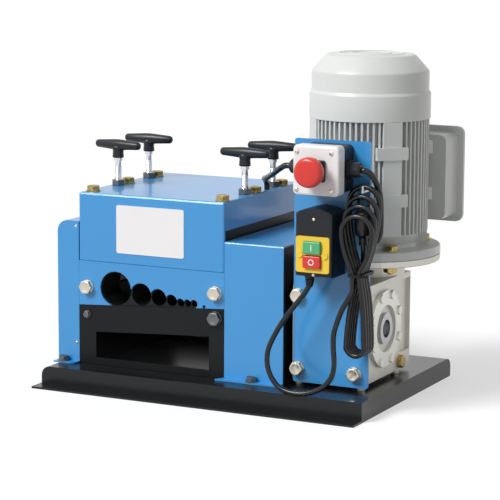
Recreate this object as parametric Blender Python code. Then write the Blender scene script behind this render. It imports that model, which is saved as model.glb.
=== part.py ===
"""Bench wire stripping machine: gear motor on a control post, feed rollers in a sheet metal head.

All lengths are metres, +Z is up, +X runs to the right along the front and +Y to the back.
Inside the script the base's right front corner on the bench is the zero point of X, Y and Z.
One empty then carries the whole machine, so that its own zero lies under the middle of its box.
"""
import math

import bmesh
import bpy
from mathutils import Matrix, Vector

# general clearances
GAP = 0.0003          # gap between two pieces that touch in the real machine
RUN_CLEAR = 0.0004    # radial clearance of a shaft, screw or button
OVERRUN = 0.002       # how far a cutter runs past the face it opens

# base tray, folded steel
BASE_SIDE = 0.037      # of the tray to the left of the head
BASE_DEPTH = 0.320
BASE_HEIGHT = 0.027
BASE_SHEET = 0.003
BASE_BEND = 0.013
BASE_LIP = 0.027

# stripping head
HEAD_RIGHT = 0.224    # from the base's right edge to the cover's right face
HEAD_WIDTH = 0.229
HEAD_FRONT = 0.0425
HEAD_DEPTH = 0.246
HEAD_TOP = 0.271
COVER_SHEET = 0.002
COVER_FRONT_H = 0.0960  # of the cover's front skirt, down to the seam
COVER_SIDE_H = 0.0395
COVER_BACK_H = 0.0810
SIDE_PLATE = 0.020
SIDE_INSET = 0.0014
PANEL_SHEET = 0.003
SEAM_GAP = 0.0006
REAR_PLATE_DROP = 0.020  # of the lower rear plate's edge under the rollers' axis

# feed line on the front panel, which climbs towards the small holes
LINE_LEFT = 0.1110
LINE_RIGHT = 0.1246
HOLE_X_SHARES = (0.2572, 0.4319, 0.5515, 0.6406, 0.7031, 0.7515, 0.7956, 0.8646)  # of the head's width
HOLE_R_SHARES = (0.1083, 0.0734, 0.0568, 0.0406, 0.0288, 0.0266, 0.0258, 0.0105)
HOLE_CUT_SHARE = 0.06
GUIDE_BORE_STEP = 0.0014
GUIDE_DEPTH = 0.048
GUIDE_WALL = 0.0040
WINDOW_LEFT = 0.027
WINDOW_RIGHT = 0.0233
WINDOW_DROP = 0.0385
WINDOW_SILL = 0.010

# drive line
AXIS_Z = 0.101
TOOTH_MODULE = 0.003
TEETH_ROLLER = 16
TEETH_IDLER = 14
GEAR_FACE = 0.014
GEAR_SIDE_GAP = 0.006
TOOTH_BACKLASH = 0.0004
PIN_R = 0.006
DRIVE_ROLLER_R = 0.016
SHAFT_R = 0.0100
SHAFT_STOP = 0.010     # the drive shaft ends this far inside the hollow shaft's right mouth
KNURL_DEPTH = 0.0010
KNURL_COUNT = 16
BLADE_R = 0.030
BLADE_FACE = 0.004
BLADE_GAP = 0.0034
UPPER_SHAFT_R = 0.009

# sliding bearing blocks and their screws
BLOCK_WIDTH = 0.026
BLOCK_HEIGHT = 0.030
TRAVEL_DOWN = 0.003
TRAVEL_UP = 0.006
SCREW_R = 0.005
HANDLE_UP = 0.058      # of the handles' bars above the cover
HANDLE_LEN = 0.078
HANDLE_TIP_R = 0.0055
HANDLE_MID_R = 0.0078
HUB_R = 0.0083
HUB_DROP = 0.0185
COLLAR_R = 0.0062
COLLAR_H = 0.0042
HANDLE_TURNS = (-8.0, 0.0, -4.0, 3.0)

# holes for the M10 and M8 bolts
BOLT10_R = 0.005
BOLT8_R = 0.004
SHANK_IN = 0.008

# gear cover on the left
GEAR_COVER_W = 0.0344
GEAR_COVER_TOP = 0.2295
GEAR_COVER_BEND = 0.016
FOOT_LIP = 0.014
FOOT_SHEET = 0.0022

# coupling box between head and gearbox
COUPLING_AIR = 0.0018  # between the coupling box and the gearbox's hollow shaft
COUPLING_TOP = 0.2173
COUPLING_DEPTH = 0.234
COUPLING_LIP_OUT = 0.0073
COUPLING_PLATE = 0.008
FLANGE_AIR = 0.002     # round the motor's flange, where the box is cut away for it

# control post, a plate bolted to the gearbox foot face
POST_FRONT = 0.0555
POST_SHEET = 0.003
POST_LEFT = 0.0485     # from the motor's axis to the plate's edges
POST_RIGHT = 0.0614
POST_UNDER = 0.0686     # from the shaft's axis to the plate's lower edge
POST_TALL = 0.3309

# worm gearbox with a hollow output shaft
GEARBOX_IN = 0.0772   # from the base's right edge to the motor's axis
GEARBOX_FOOT = 0.072
GEARBOX_CENTRE = 0.063
GEARBOX_HALF_W = 0.051
GEARBOX_HUB_HALF = 0.056
GEARBOX_BACK = 0.039
GEARBOX_LOW = 0.068
GEARBOX_HIGH = 0.065
GEARBOX_EDGE = 0.006
NECK_R = 0.052
BOLT_HALF_X = 0.0419
BOLT_HALF_Z = 0.050
HUB_SLEEVE_R = 0.0213
HUB_BORE_R = 0.0125
RING_R = 0.053
RING_INNER_R = 0.0325
RING_THICK = 0.0045
RING_BOSS_R = 0.0065
RING_BOSSES = 8
POCKET_DEPTH = 0.005
FOOT_PAD = 0.011
PLUG_R = 0.008
PLUG_H = 0.006

# motor, flange mounted, axis upright
FLANGE_R = 0.100
FLANGE_UP = 0.085      # from the shaft's axis to the input flange
FLANGE_T = 0.009
SHIELD_FLANGE_T = 0.012
FLANGE_BOLT_R = 0.0825
SHIELD_R = 0.072
SHIELD_H = 0.0195
SHIELD_EAR_R = 0.0810
SHIELD_EAR_W = 0.014
SHIELD_EAR_TURN = 22.0
BODY_LEN = 0.1655
BODY_CORE_R = 0.0715
FIN_COUNT = 64
FIN_SHARE = 0.42
PAD_W = 0.026
PAD_R = 0.0835
LUG_W = 0.045
LUG_H = 0.017
LUG_R = 0.0850
LUG_UP = (0.0485, 0.1125)  # above the body's lower end
COWL_LAP = 0.0105      # of the cowl over the body
COWL_BAND_H = 0.0365
COWL_WALL_H = 0.0295
COWL_CROWN_H = 0.0209
COWL_BAND_R = 0.0835
COWL_WALL_R = 0.0808
COWL_CROWN_R = 0.0610
COWL_SHEET = 0.0013
COWL_DISC_R = 0.020
COWL_DISC_H = 0.0015
SLOT_W = 0.0035
SLOT_COUNT = 6
FAN_R = 0.066
FAN_HUB_R = 0.018
FAN_BLADES = 6
FAN_BLADE = 0.003
FAN_UP = 0.012         # above the body
FAN_HEIGHT = 0.028
ROTOR_R = 0.0095

# terminal box on the back of the motor
BOX_HALF_W = 0.080
BOX_UP = 0.0055        # above the body's lower end
BOX_TALL = 0.120
BOX_STAND = 0.0845
BOX_DEPTH = 0.047
LID_EDGE = 0.008
LID_FLANGE = 0.006
LID_DOME = 0.013
LID_CORNER = 0.010
TERM_WALL = 0.003

# emergency stop
ESTOP_SHIFT = 0.0057   # to the right of the motor's axis
ESTOP_DROP = 0.0353    # of its middle under the post's top
ESTOP_STAND = 0.052
ESTOP_LID = 0.066
ESTOP_LID_T = 0.018
ESTOP_CORNER = 0.006
ESTOP_BODY = 0.062
ESTOP_WALL = 0.003
BEZEL = 0.029
BEZEL_T = 0.004
STEM_R = 0.011
CAP_R = 0.020
CAP_T = 0.014
CAP_STAND = 0.029
GLAND_R = 0.0112
GLAND_LEN = 0.020
GLAND_Y = 0.037
LEAD_R = 0.0040

# switch box with start and stop buttons
SWITCH_SHIFT = -0.0003
SWITCH_W = 0.0535
SWITCH_DROP = 0.1773   # of its lower edge under the post's top
SWITCH_TALL = 0.084    # to its shoulders
SWITCH_RISE = 0.007    # of its crown
SWITCH_DEPTH = 0.0427
SWITCH_EDGE = 0.003
SWITCH_PLATE = 0.048
SWITCH_PLATE_UP = 0.030  # of the plate's middle above the box's lower edge
SWITCH_PLATE_T = 0.003
EAR_R = 0.0045
BUTTON_W = 0.0250
BUTTON_H = 0.0160
BUTTON_STAND = 0.0045
BUTTON_IN = 0.009
BUTTON_TRAVEL = 0.003
BUTTON_APART = 0.0095  # of each button's middle from the plate's middle

# mains lead, its hank and plug
CORD_R = 0.0035
CORD_SPACING_SHARE = 2.2   # distance between the points of a free stretch, in cord diameters
LOOPS = 4
HANK_SHIFT = -0.0022   # from the post's right edge
HANK_Y = 0.0325
HANK_DROP = 0.0573     # of the highest loop under the post's top
HANK_UP = 0.1140       # of the highest loop above the waist
HANK_DOWN = 0.1070     # of the lower loops below the waist
HANK_WAIST = 0.0046
HANK_UPPER = 0.0215
HANK_LOWER = 0.0130
HANK_STEP = 0.0080
HANK_NEST = 0.0120     # each loop hangs this much lower than the one behind it
TIE_SHEET = 0.0012
TIE_H = 0.0040
TIE_SLACK = 0.0014     # round the loops, which spread above and below the tie
TIE_TAIL = 0.010
PLUG_BACK = 0.0075     # of the plug's axis behind the hank's middle
PLUG_RISE = 0.0370     # of the plug's neck above the waist
PLUG_BODY_R = 0.0125
PLUG_BODY_L = 0.034
PLUG_NECK_R = 0.0060
PLUG_NECK_L = 0.010
PIN_LEN = 0.017
PIN_RADIUS = 0.0024
PIN_HALF = 0.0065
HOOK_R = 0.0020
HOOK_TIP = 0.008

# places worked out from the sizes above
BASE_LEN = HEAD_RIGHT + HEAD_WIDTH + BASE_SIDE
HEAD_R = -HEAD_RIGHT
HEAD_L = HEAD_R - HEAD_WIDTH
HEAD_BACK = HEAD_FRONT + HEAD_DEPTH
PLATE_X = (HEAD_L + COVER_SHEET + SIDE_INSET + SIDE_PLATE / 2,
           HEAD_R - COVER_SHEET - SIDE_INSET - SIDE_PLATE / 2)
INNER_L = PLATE_X[0] + SIDE_PLATE / 2
INNER_R = PLATE_X[1] - SIDE_PLATE / 2
PLATE_FRONT = HEAD_FRONT + PANEL_SHEET + GAP
PLATE_BACK = HEAD_BACK - COVER_SHEET - GAP
DECK = BASE_HEIGHT + GAP
PLATE_TOP = HEAD_TOP - COVER_SHEET - GAP

GEARBOX_X = -GEARBOX_IN
GEARBOX_FACE = POST_FRONT + POST_SHEET + GAP
AXIS_Y = GEARBOX_FACE + GEARBOX_FOOT
MOTOR_Y = AXIS_Y + GEARBOX_CENTRE
PITCH_ROLLER = TOOTH_MODULE * TEETH_ROLLER / 2
PITCH_IDLER = TOOTH_MODULE * TEETH_IDLER / 2
IDLER_Y = AXIS_Y + PITCH_ROLLER + PITCH_IDLER
REAR_Y = IDLER_Y + PITCH_IDLER + PITCH_ROLLER
UPPER_Z = AXIS_Z + DRIVE_ROLLER_R + BLADE_GAP + BLADE_R
FIN_R = COWL_BAND_R - COWL_SHEET - RUN_CLEAR
COUPLING_L = HEAD_R + GAP
COUPLING_R = GEARBOX_X - GEARBOX_HUB_HALF - COUPLING_AIR
POST_L, POST_R = GEARBOX_X - POST_LEFT, GEARBOX_X + POST_RIGHT
ESTOP_X = GEARBOX_X + ESTOP_SHIFT
SWITCH_X = GEARBOX_X + SWITCH_SHIFT
HANK_X = POST_R + HANK_SHIFT
POST_BACK = POST_FRONT + POST_SHEET
SWITCH_FRONT = POST_FRONT - GAP - SWITCH_DEPTH
ESTOP_FRONT = POST_FRONT - ESTOP_STAND
LID_BACK = MOTOR_Y + BOX_STAND + BOX_DEPTH + GAP + LID_FLANGE + LID_DOME
HANDLE_Z = HEAD_TOP + HANDLE_UP
COVER_SEAM = HEAD_TOP - COVER_FRONT_H
COVER_SKIRT = HEAD_TOP - COVER_SIDE_H
COVER_BACK_SKIRT = HEAD_TOP - COVER_BACK_H
POST_BOTTOM = AXIS_Z - POST_UNDER
POST_TOP = POST_BOTTOM + POST_TALL
FLANGE_LOW = AXIS_Z + FLANGE_UP
FLANGE_SPLIT = FLANGE_LOW + FLANGE_T
FLANGE_TOP = FLANGE_SPLIT + SHIELD_FLANGE_T
BODY_LOW = FLANGE_TOP + SHIELD_H
BODY_TOP = BODY_LOW + BODY_LEN
LUG_HEIGHTS = [BODY_LOW + up for up in LUG_UP]
COWL_LOW = BODY_TOP - COWL_LAP
COWL_STEP = COWL_LOW + COWL_BAND_H
COWL_SHOULDER = COWL_STEP + COWL_WALL_H
COWL_TOP = COWL_SHOULDER + COWL_CROWN_H
FAN_LOW = BODY_TOP + FAN_UP
BOX_LOW = BODY_LOW + BOX_UP
BOX_HIGH = BOX_LOW + BOX_TALL
ESTOP_Z = POST_TOP - ESTOP_DROP
SWITCH_LOW = POST_TOP - SWITCH_DROP
SWITCH_SHOULDER = SWITCH_LOW + SWITCH_TALL
SWITCH_CROWN = SWITCH_SHOULDER + SWITCH_RISE
SWITCH_PLATE_Z = SWITCH_LOW + SWITCH_PLATE_UP
START_Z, STOP_Z = SWITCH_PLATE_Z + BUTTON_APART, SWITCH_PLATE_Z - BUTTON_APART
HANK_TOP = POST_TOP - HANK_DROP
HANK_WAIST_Z = HANK_TOP - HANK_UP
HANK_BOTTOM = HANK_WAIST_Z - HANK_DOWN

# the machine's own box, which sets where its zero lies
BOX_X = (-BASE_LEN, GEARBOX_X + FLANGE_R)
BOX_Y = (-BASE_LIP, LID_BACK)


def line_height(x):
    """Height of the feed line at a place across the head."""
    share = (x - HEAD_L) / HEAD_WIDTH
    return LINE_LEFT + (LINE_RIGHT - LINE_LEFT) * share


for old in list(bpy.data.objects):
    bpy.data.objects.remove(old, do_unlink=True)

root = bpy.data.objects.new("wire_stripper", None)
root.location = (-(BOX_X[0] + BOX_X[1]) / 2, -(BOX_Y[0] + BOX_Y[1]) / 2, 0)
bpy.context.scene.collection.objects.link(root)


# materials: colour, roughness and metallic value read from the photograph

def paint(name, rgb, roughness, metallic=0.0):
    mat = bpy.data.materials.new(name)
    mat.use_nodes = True
    shader = mat.node_tree.nodes["Principled BSDF"]
    shader.inputs["Base Color"].default_value = (*rgb, 1)
    shader.inputs["Roughness"].default_value = roughness
    shader.inputs["Metallic"].default_value = metallic
    return mat


BLUE = paint("blue_enamel", (0.06, 0.29, 0.62), 0.25)
BLACK = paint("black_powder_coat", (0.013, 0.015, 0.017), 0.35)
STEEL = paint("turned_steel", (0.55, 0.55, 0.56), 0.3, 1.0)
CAST = paint("die_cast_aluminium", (0.55, 0.54, 0.52), 0.45, 1.0)
MOTOR_GREY = paint("grey_enamel", (0.68, 0.69, 0.67), 0.4)
ZINC = paint("yellow_zinc", (0.45, 0.36, 0.17), 0.35, 1.0)
CHROME = paint("chromed_steel", (0.7, 0.7, 0.7), 0.12, 1.0)
PHENOLIC = paint("black_phenolic", (0.03, 0.032, 0.037), 0.4)
WHITE = paint("white_plastic", (0.88, 0.87, 0.87), 0.35)
SLATE = paint("slate_plastic", (0.06, 0.075, 0.1), 0.45)
RED = paint("red_plastic", (0.68, 0.08, 0.06), 0.3)
GREEN = paint("green_plastic", (0.12, 0.5, 0.24), 0.35)
YELLOW = paint("yellow_plastic", (0.82, 0.58, 0.05), 0.35)
PVC = paint("black_pvc", (0.02, 0.02, 0.022), 0.3)
BLACK_NYLON = paint("black_nylon", (0.018, 0.018, 0.02), 0.45)


# modelling helpers

def new_object(name, bm, mat=None, origin=(0, 0, 0), turn=0.0):
    """Makes a mesh object whose own zero is at origin, turned about its upright axis by turn degrees."""
    bmesh.ops.recalc_face_normals(bm, faces=bm.faces)
    bmesh.ops.translate(bm, verts=bm.verts, vec=-Vector(origin))
    mesh = bpy.data.meshes.new(name)
    bm.to_mesh(mesh)
    bm.free()
    obj = bpy.data.objects.new(name, mesh)
    obj.location = origin
    obj.rotation_euler = (0, 0, math.radians(turn))
    obj.parent = root
    bpy.context.scene.collection.objects.link(obj)
    if mat:
        mesh.materials.append(mat)
        mesh.shade_smooth()
        mesh.set_sharp_from_angle(angle=math.radians(30))
    return obj


def tool(name, bm):
    """A cutter or an added body: seen as wires, left out of renders."""
    obj = new_object(name, bm)
    obj.hide_render = True
    obj.display_type = "WIRE"
    return obj


def combine(obj, other, operation):
    mod = obj.modifiers.new(other.name, "BOOLEAN")
    mod.operation = operation
    mod.object = other
    mod.solver = "EXACT"
    return obj


def cut(obj, *bms):
    for bm in bms:
        combine(obj, tool(f"{obj.name}_cut_{len(obj.modifiers)}", bm), "DIFFERENCE")
    return obj


def fuse(obj, *bms):
    for bm in bms:
        combine(obj, tool(f"{obj.name}_add_{len(obj.modifiers)}", bm), "UNION")
    return obj


def slab(low, high, bm=None):
    """A box between two corners."""
    bm = bm or bmesh.new()
    low, high = Vector(low), Vector(high)
    size = high - low
    made = bmesh.ops.create_cube(bm, size=1.0)["verts"]
    bmesh.ops.transform(bm, matrix=Matrix.Diagonal((*size, 1)), verts=made)
    bmesh.ops.translate(bm, verts=made, vec=(low + high) / 2)
    return bm


def round_edges(bm, width, steps, wanted):
    """Rounds the edges for which wanted(middle, direction) is true."""
    chosen = []
    for edge in bm.edges:
        a, b = edge.verts[0].co, edge.verts[1].co
        if wanted((a + b) / 2, (b - a).normalized()):
            chosen.append(edge)
    bmesh.ops.bevel(bm, geom=chosen, offset=width, segments=steps, profile=0.5, affect="EDGES")
    return bm


def prism(outline, axis, low, high, bm=None):
    """Pushes a closed outline along an axis. Outlines are (x, z) for Y, (y, z) for X and (x, y) for Z."""
    bm = bm or bmesh.new()
    place = {"X": lambda u, v, w: (w, u, v), "Y": lambda u, v, w: (u, w, v),
             "Z": lambda u, v, w: (u, v, w)}[axis]
    first = [bm.verts.new(place(u, v, low)) for u, v in outline]
    last = [bm.verts.new(place(u, v, high)) for u, v in outline]
    bm.faces.new(first)
    bm.faces.new(list(reversed(last)))
    for i in range(len(outline)):
        j = (i + 1) % len(outline)
        bm.faces.new((first[j], first[i], last[i], last[j]))
    return bm


def ring_point(radius, angle, flats):
    """A point of a round ring, or of a ring with flat sides whose half width is radius."""
    if flats:
        sector = 2 * math.pi / flats
        radius = radius / math.cos((angle % sector) - sector / 2)
    return radius * math.cos(angle), radius * math.sin(angle)


def turned(rings, centre, axis, count=24, hollow=False, bm=None):
    """A turned piece from rings of (height, radius) or (height, radius, flats) along an axis.

    With hollow, the rings are the closed section of a piece that is open in the middle.
    """
    bm = bm or bmesh.new()
    direction = {"X": Vector((1, 0, 0)), "Y": Vector((0, 1, 0)), "Z": Vector((0, 0, 1))}[axis]
    frame = Vector((0, 0, 1)).rotation_difference(direction).to_matrix()
    loops = []
    for ring in rings:
        height, radius = ring[0], ring[1]
        flats = ring[2] if len(ring) > 2 else 0
        loop = []
        for i in range(count):
            x, y = ring_point(radius, 2 * math.pi * i / count, flats)
            loop.append(bm.verts.new(Vector(centre) + frame @ Vector((x, y, height))))
        loops.append(loop)
    pairs = list(zip(loops, loops[1:]))
    if hollow:
        pairs.append((loops[-1], loops[0]))
    else:
        bm.faces.new(list(reversed(loops[0])))
        bm.faces.new(loops[-1])
    for a, b in pairs:
        for i in range(count):
            j = (i + 1) % count
            bm.faces.new((a[i], a[j], b[j], b[i]))
    return bm


def rod(radius, centre, axis, low, high, count=24, bm=None):
    return turned([(low, radius), (high, radius)], centre, axis, count, False, bm)


def arc(cx, cy, radius, start, end, steps):
    """Points of an arc, angles in degrees."""
    angles = [math.radians(start + (end - start) * i / steps) for i in range(steps + 1)]
    return [(cx + radius * math.cos(a), cy + radius * math.sin(a)) for a in angles]


def rounded_rect(cx, cy, width, height, radius, steps=3):
    hw, hh = width / 2 - radius, height / 2 - radius
    return (arc(cx + hw, cy + hh, radius, 0, 90, steps) + arc(cx - hw, cy + hh, radius, 90, 180, steps)
            + arc(cx - hw, cy - hh, radius, 180, 270, steps) + arc(cx + hw, cy - hh, radius, 270, 360, steps))


# base tray

tray = round_edges(
    slab((-BASE_LEN, 0, 0), (0, BASE_DEPTH, BASE_HEIGHT)), BASE_BEND, 5,
    lambda mid, way: (mid.x < -BASE_LEN + GAP and (mid.z > BASE_HEIGHT - GAP or mid.y > BASE_DEPTH - GAP))
    or (mid.y > BASE_DEPTH - GAP and mid.z > BASE_HEIGHT - GAP))
hollow = round_edges(
    slab((-BASE_LEN + BASE_SHEET, BASE_SHEET, -OVERRUN), (-BASE_SHEET, BASE_DEPTH - BASE_SHEET,
                                                         BASE_HEIGHT - BASE_SHEET)),
    BASE_BEND - BASE_SHEET, 5,
    lambda mid, way: (mid.x < -BASE_LEN + BASE_SHEET + GAP
                      and (mid.z > BASE_HEIGHT - BASE_SHEET - GAP or mid.y > BASE_DEPTH - BASE_SHEET - GAP))
    or (mid.y > BASE_DEPTH - BASE_SHEET - GAP and mid.z > BASE_HEIGHT - BASE_SHEET - GAP))
base = new_object("base_tray", tray, BLACK)
cut(base, hollow)
fuse(base, slab((-BASE_LEN, -BASE_LIP, 0), (0, BASE_SHEET / 2, BASE_SHEET)))

# side plates of the head, with windows for the sliding blocks and bores for the shafts

BLOCK_LOW = UPPER_Z - BLOCK_HEIGHT / 2
BLOCK_HIGH = UPPER_Z + BLOCK_HEIGHT / 2
WINDOW_LOW = BLOCK_LOW - TRAVEL_DOWN - GAP
WINDOW_HIGH = BLOCK_HIGH + TRAVEL_UP + GAP
SHAFT_HOLE = SHAFT_R + RUN_CLEAR
PANEL_BOLT_Z = 0.0255      # of the panel's bolts above the feed line
LOWER_BOLT_Z = 0.0135      # of the lower plate's bolts under the feed line
panel_bolts = [(PLATE_X[0], line_height(PLATE_X[0]) + PANEL_BOLT_Z),
               (PLATE_X[1], line_height(PLATE_X[1]) + 0.84 * PANEL_BOLT_Z)]
lower_bolts = [(PLATE_X[0], line_height(PLATE_X[0]) - LOWER_BOLT_Z),
               (PLATE_X[1], line_height(PLATE_X[1]) - LOWER_BOLT_Z)]
COVER_BOLT_Y = (0.0155, 0.1145, 0.2005)    # behind the cover's front
COVER_BOLT_IN = (0.0150, 0.0105)           # from the cover's left and right edges
cover_bolts = [(x, HEAD_FRONT + y) for x in (HEAD_L + COVER_BOLT_IN[0], HEAD_R - COVER_BOLT_IN[1])
               for y in COVER_BOLT_Y]
screws = [(x, y) for x in PLATE_X for y in (AXIS_Y, REAR_Y)]

plates = []
for side, name in enumerate(("side_plate_left", "side_plate_right")):
    x = PLATE_X[side]
    low, high = x - SIDE_PLATE / 2, x + SIDE_PLATE / 2
    plate = new_object(name, slab((low, PLATE_FRONT, DECK), (high, PLATE_BACK, PLATE_TOP)), BLACK)
    windows, bores, threads = bmesh.new(), bmesh.new(), bmesh.new()
    for y in (AXIS_Y, REAR_Y):
        half = BLOCK_WIDTH / 2 + GAP
        slab((low - OVERRUN, y - half, WINDOW_LOW), (high + OVERRUN, y + half, WINDOW_HIGH), windows)
        rod(SHAFT_HOLE, (0, y, AXIS_Z), "X", low - OVERRUN, high + OVERRUN, 16, bores)
        rod(SCREW_R + RUN_CLEAR, (x, y, 0), "Z", WINDOW_HIGH - OVERRUN, PLATE_TOP + OVERRUN, 12, threads)
    for bx, bz in (panel_bolts[side], lower_bolts[side]):
        rod(BOLT10_R + GAP, (bx, 0, bz), "Y", PLATE_FRONT - OVERRUN, PLATE_FRONT + SHANK_IN, 8, bores)
    for bx, by in cover_bolts:
        if low < bx < high:
            rod(BOLT8_R + GAP, (bx, by, 0), "Z", PLATE_TOP - 2 * SHANK_IN, PLATE_TOP + OVERRUN, 8, bores)
    cut(plate, windows, bores, threads)
    plates.append(plate)

GEAR_R = PLATE_X[0] - SIDE_PLATE / 2 - GEAR_SIDE_GAP
GEAR_L = GEAR_R - GEAR_FACE
PIN_OUT = GEAR_L - GEAR_SIDE_GAP / 2
fuse(plates[0], rod(PIN_R, (0, IDLER_Y, AXIS_Z), "X", PIN_OUT, PLATE_X[0], 24))

TIE_R = 0.007
TIE_IN = 0.0255            # of the rear tie bars in front of the plates' back edge
TIE_Z = (0.062, 0.238)
FRONT_TIE_Y = 0.026        # of the front tie bar behind the plates' front edge
tie_bars = {"tie_bar_low": (PLATE_BACK - TIE_IN / 2, TIE_Z[0]),
            "tie_bar_rear": (PLATE_BACK - TIE_IN / 2, TIE_Z[1]),
            "tie_bar_front": (PLATE_FRONT + FRONT_TIE_Y, TIE_Z[1])}
for name, (y, z) in tie_bars.items():
    new_object(name, rod(TIE_R, (0, y, z), "X", INNER_L + GAP, INNER_R - GAP, 20), STEEL)

# head cover, one folded sheet over the side plates

COVER_FOLD = 0.003
cover = new_object("head_cover", round_edges(
    slab((HEAD_L, HEAD_FRONT, COVER_SEAM), (HEAD_R, HEAD_BACK, HEAD_TOP)), COVER_FOLD, 2,
    lambda mid, way: mid.z > COVER_SEAM + GAP), BLUE)
cut(cover, slab((HEAD_L + COVER_SHEET, HEAD_FRONT + COVER_SHEET, COVER_SEAM - OVERRUN),
                (HEAD_R - COVER_SHEET, HEAD_BACK - COVER_SHEET, HEAD_TOP - COVER_SHEET)))
skirts = slab((HEAD_L - OVERRUN, HEAD_FRONT + COVER_FOLD, COVER_SEAM - OVERRUN),
              (HEAD_R + OVERRUN, HEAD_BACK - COVER_FOLD, COVER_SKIRT))
back_skirt = slab((HEAD_L - OVERRUN, HEAD_BACK - 2 * COVER_FOLD, COVER_SEAM - OVERRUN),
                  (HEAD_R + OVERRUN, HEAD_BACK + OVERRUN, COVER_BACK_SKIRT))
LEAD_HOLE_IN = 0.0080      # of the lead's grommet from the cover's right edge
LEAD_HOLE_Y = 0.1475       # behind the cover's front
lead_hole = (HEAD_R - LEAD_HOLE_IN, HEAD_FRONT + LEAD_HOLE_Y)
holes = bmesh.new()
for x, y in screws:
    rod(SCREW_R + RUN_CLEAR, (x, y, 0), "Z", PLATE_TOP, HEAD_TOP + OVERRUN, 12, holes)
for x, y in cover_bolts:
    rod(BOLT8_R + GAP, (x, y, 0), "Z", PLATE_TOP, HEAD_TOP + OVERRUN, 8, holes)
cut(cover, skirts, back_skirt, holes)

# front panel with the feed holes, guide block behind it, lower plate under it

PANEL_L, PANEL_R = HEAD_L, HEAD_R
PANEL_BACK = HEAD_FRONT + PANEL_SHEET
panel = new_object("front_panel", prism(
    [(PANEL_L, line_height(PANEL_L)), (PANEL_R, line_height(PANEL_R)),
     (PANEL_R, COVER_SEAM - SEAM_GAP), (PANEL_L, COVER_SEAM - SEAM_GAP)], "Y", HEAD_FRONT, PANEL_BACK), BLUE)
feed = []
for x_share, r_share in zip(HOLE_X_SHARES, HOLE_R_SHARES):
    x, r = HEAD_L + x_share * HEAD_WIDTH, r_share * HEAD_WIDTH
    feed.append((x, line_height(x) + r * (1 - HOLE_CUT_SHARE), r))
for start in (0, 1):
    holes = bmesh.new()
    for x, z, r in feed[start::2]:
        rod(r, (x, 0, z), "Y", HEAD_FRONT - OVERRUN, PANEL_BACK + OVERRUN, 20, holes)
    cut(panel, holes)
row = [(x, z) for x, z, r in feed[:-1]]
low = line_height(PANEL_L) - OVERRUN
cut(panel, prism([(row[0][0], low), (row[-1][0], low)] + row[::-1], "Y", HEAD_FRONT - OVERRUN,
                 PANEL_BACK + OVERRUN))
bores = bmesh.new()
for x, z in panel_bolts:
    rod(BOLT10_R + GAP, (x, 0, z), "Y", HEAD_FRONT - OVERRUN, PANEL_BACK + OVERRUN, 12, bores)
cut(panel, bores)

GUIDE_FRONT = PANEL_BACK + GAP
GUIDE_LOW = line_height(feed[0][0]) - HOLE_CUT_SHARE * feed[0][2] - GUIDE_WALL
GUIDE_HIGH = feed[0][1] + feed[0][2] + GUIDE_WALL
guide = new_object("feed_guide", slab((INNER_L + GAP, GUIDE_FRONT, GUIDE_LOW),
                                      (INNER_R - GAP, GUIDE_FRONT + GUIDE_DEPTH, GUIDE_HIGH)), BLACK_NYLON)
for start in (0, 1):
    holes = bmesh.new()
    for x, z, r in feed[start::2]:
        rod(r - GUIDE_BORE_STEP, (x, 0, z), "Y", GUIDE_FRONT - OVERRUN, GUIDE_FRONT + GUIDE_DEPTH + OVERRUN,
            20, holes)
    cut(guide, holes)

LOWER_L, LOWER_R = HEAD_L, HEAD_R
lower = new_object("lower_front_plate", prism(
    [(LOWER_L, DECK), (LOWER_R, DECK), (LOWER_R, line_height(LOWER_R) - SEAM_GAP),
     (LOWER_L, line_height(LOWER_L) - SEAM_GAP)], "Y", HEAD_FRONT, PANEL_BACK), BLACK)
win_l, win_r = HEAD_L + WINDOW_LEFT, HEAD_R - WINDOW_RIGHT
cut(lower, prism([(win_l, DECK + WINDOW_SILL), (win_r, DECK + WINDOW_SILL),
                  (win_r, line_height(win_r) - WINDOW_DROP), (win_l, line_height(win_l) - WINDOW_DROP)],
                 "Y", HEAD_FRONT - OVERRUN, PANEL_BACK + OVERRUN))
bores = bmesh.new()
for x, z in lower_bolts:
    rod(BOLT10_R + GAP, (x, 0, z), "Y", HEAD_FRONT - OVERRUN, PANEL_BACK + OVERRUN, 12, bores)
cut(lower, bores)

rear_top = AXIS_Z - REAR_PLATE_DROP
new_object("lower_rear_plate", slab((INNER_L + GAP, PLATE_BACK - PANEL_SHEET, DECK),
                                    (INNER_R - GAP, PLATE_BACK, rear_top)), BLACK)

# gear cover on the left and coupling box on the right, each with a foot lip

def foot_lip(left, right, left_skew, right_round):
    """Foot plate in front of a cover: its left end may run outwards, its right end may be rounded."""
    front, back = HEAD_FRONT - FOOT_LIP, HEAD_FRONT + COVER_SHEET / 2
    outline = [(left - left_skew, front)]
    if right_round:
        outline += arc(right - right_round, front + right_round, right_round, -90, 0, 4)
    else:
        outline.append((right, front))
    outline += [(right, back), (left, back), (left, HEAD_FRONT - GAP)]
    return prism(outline, "Z", DECK, DECK + FOOT_SHEET)


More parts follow.
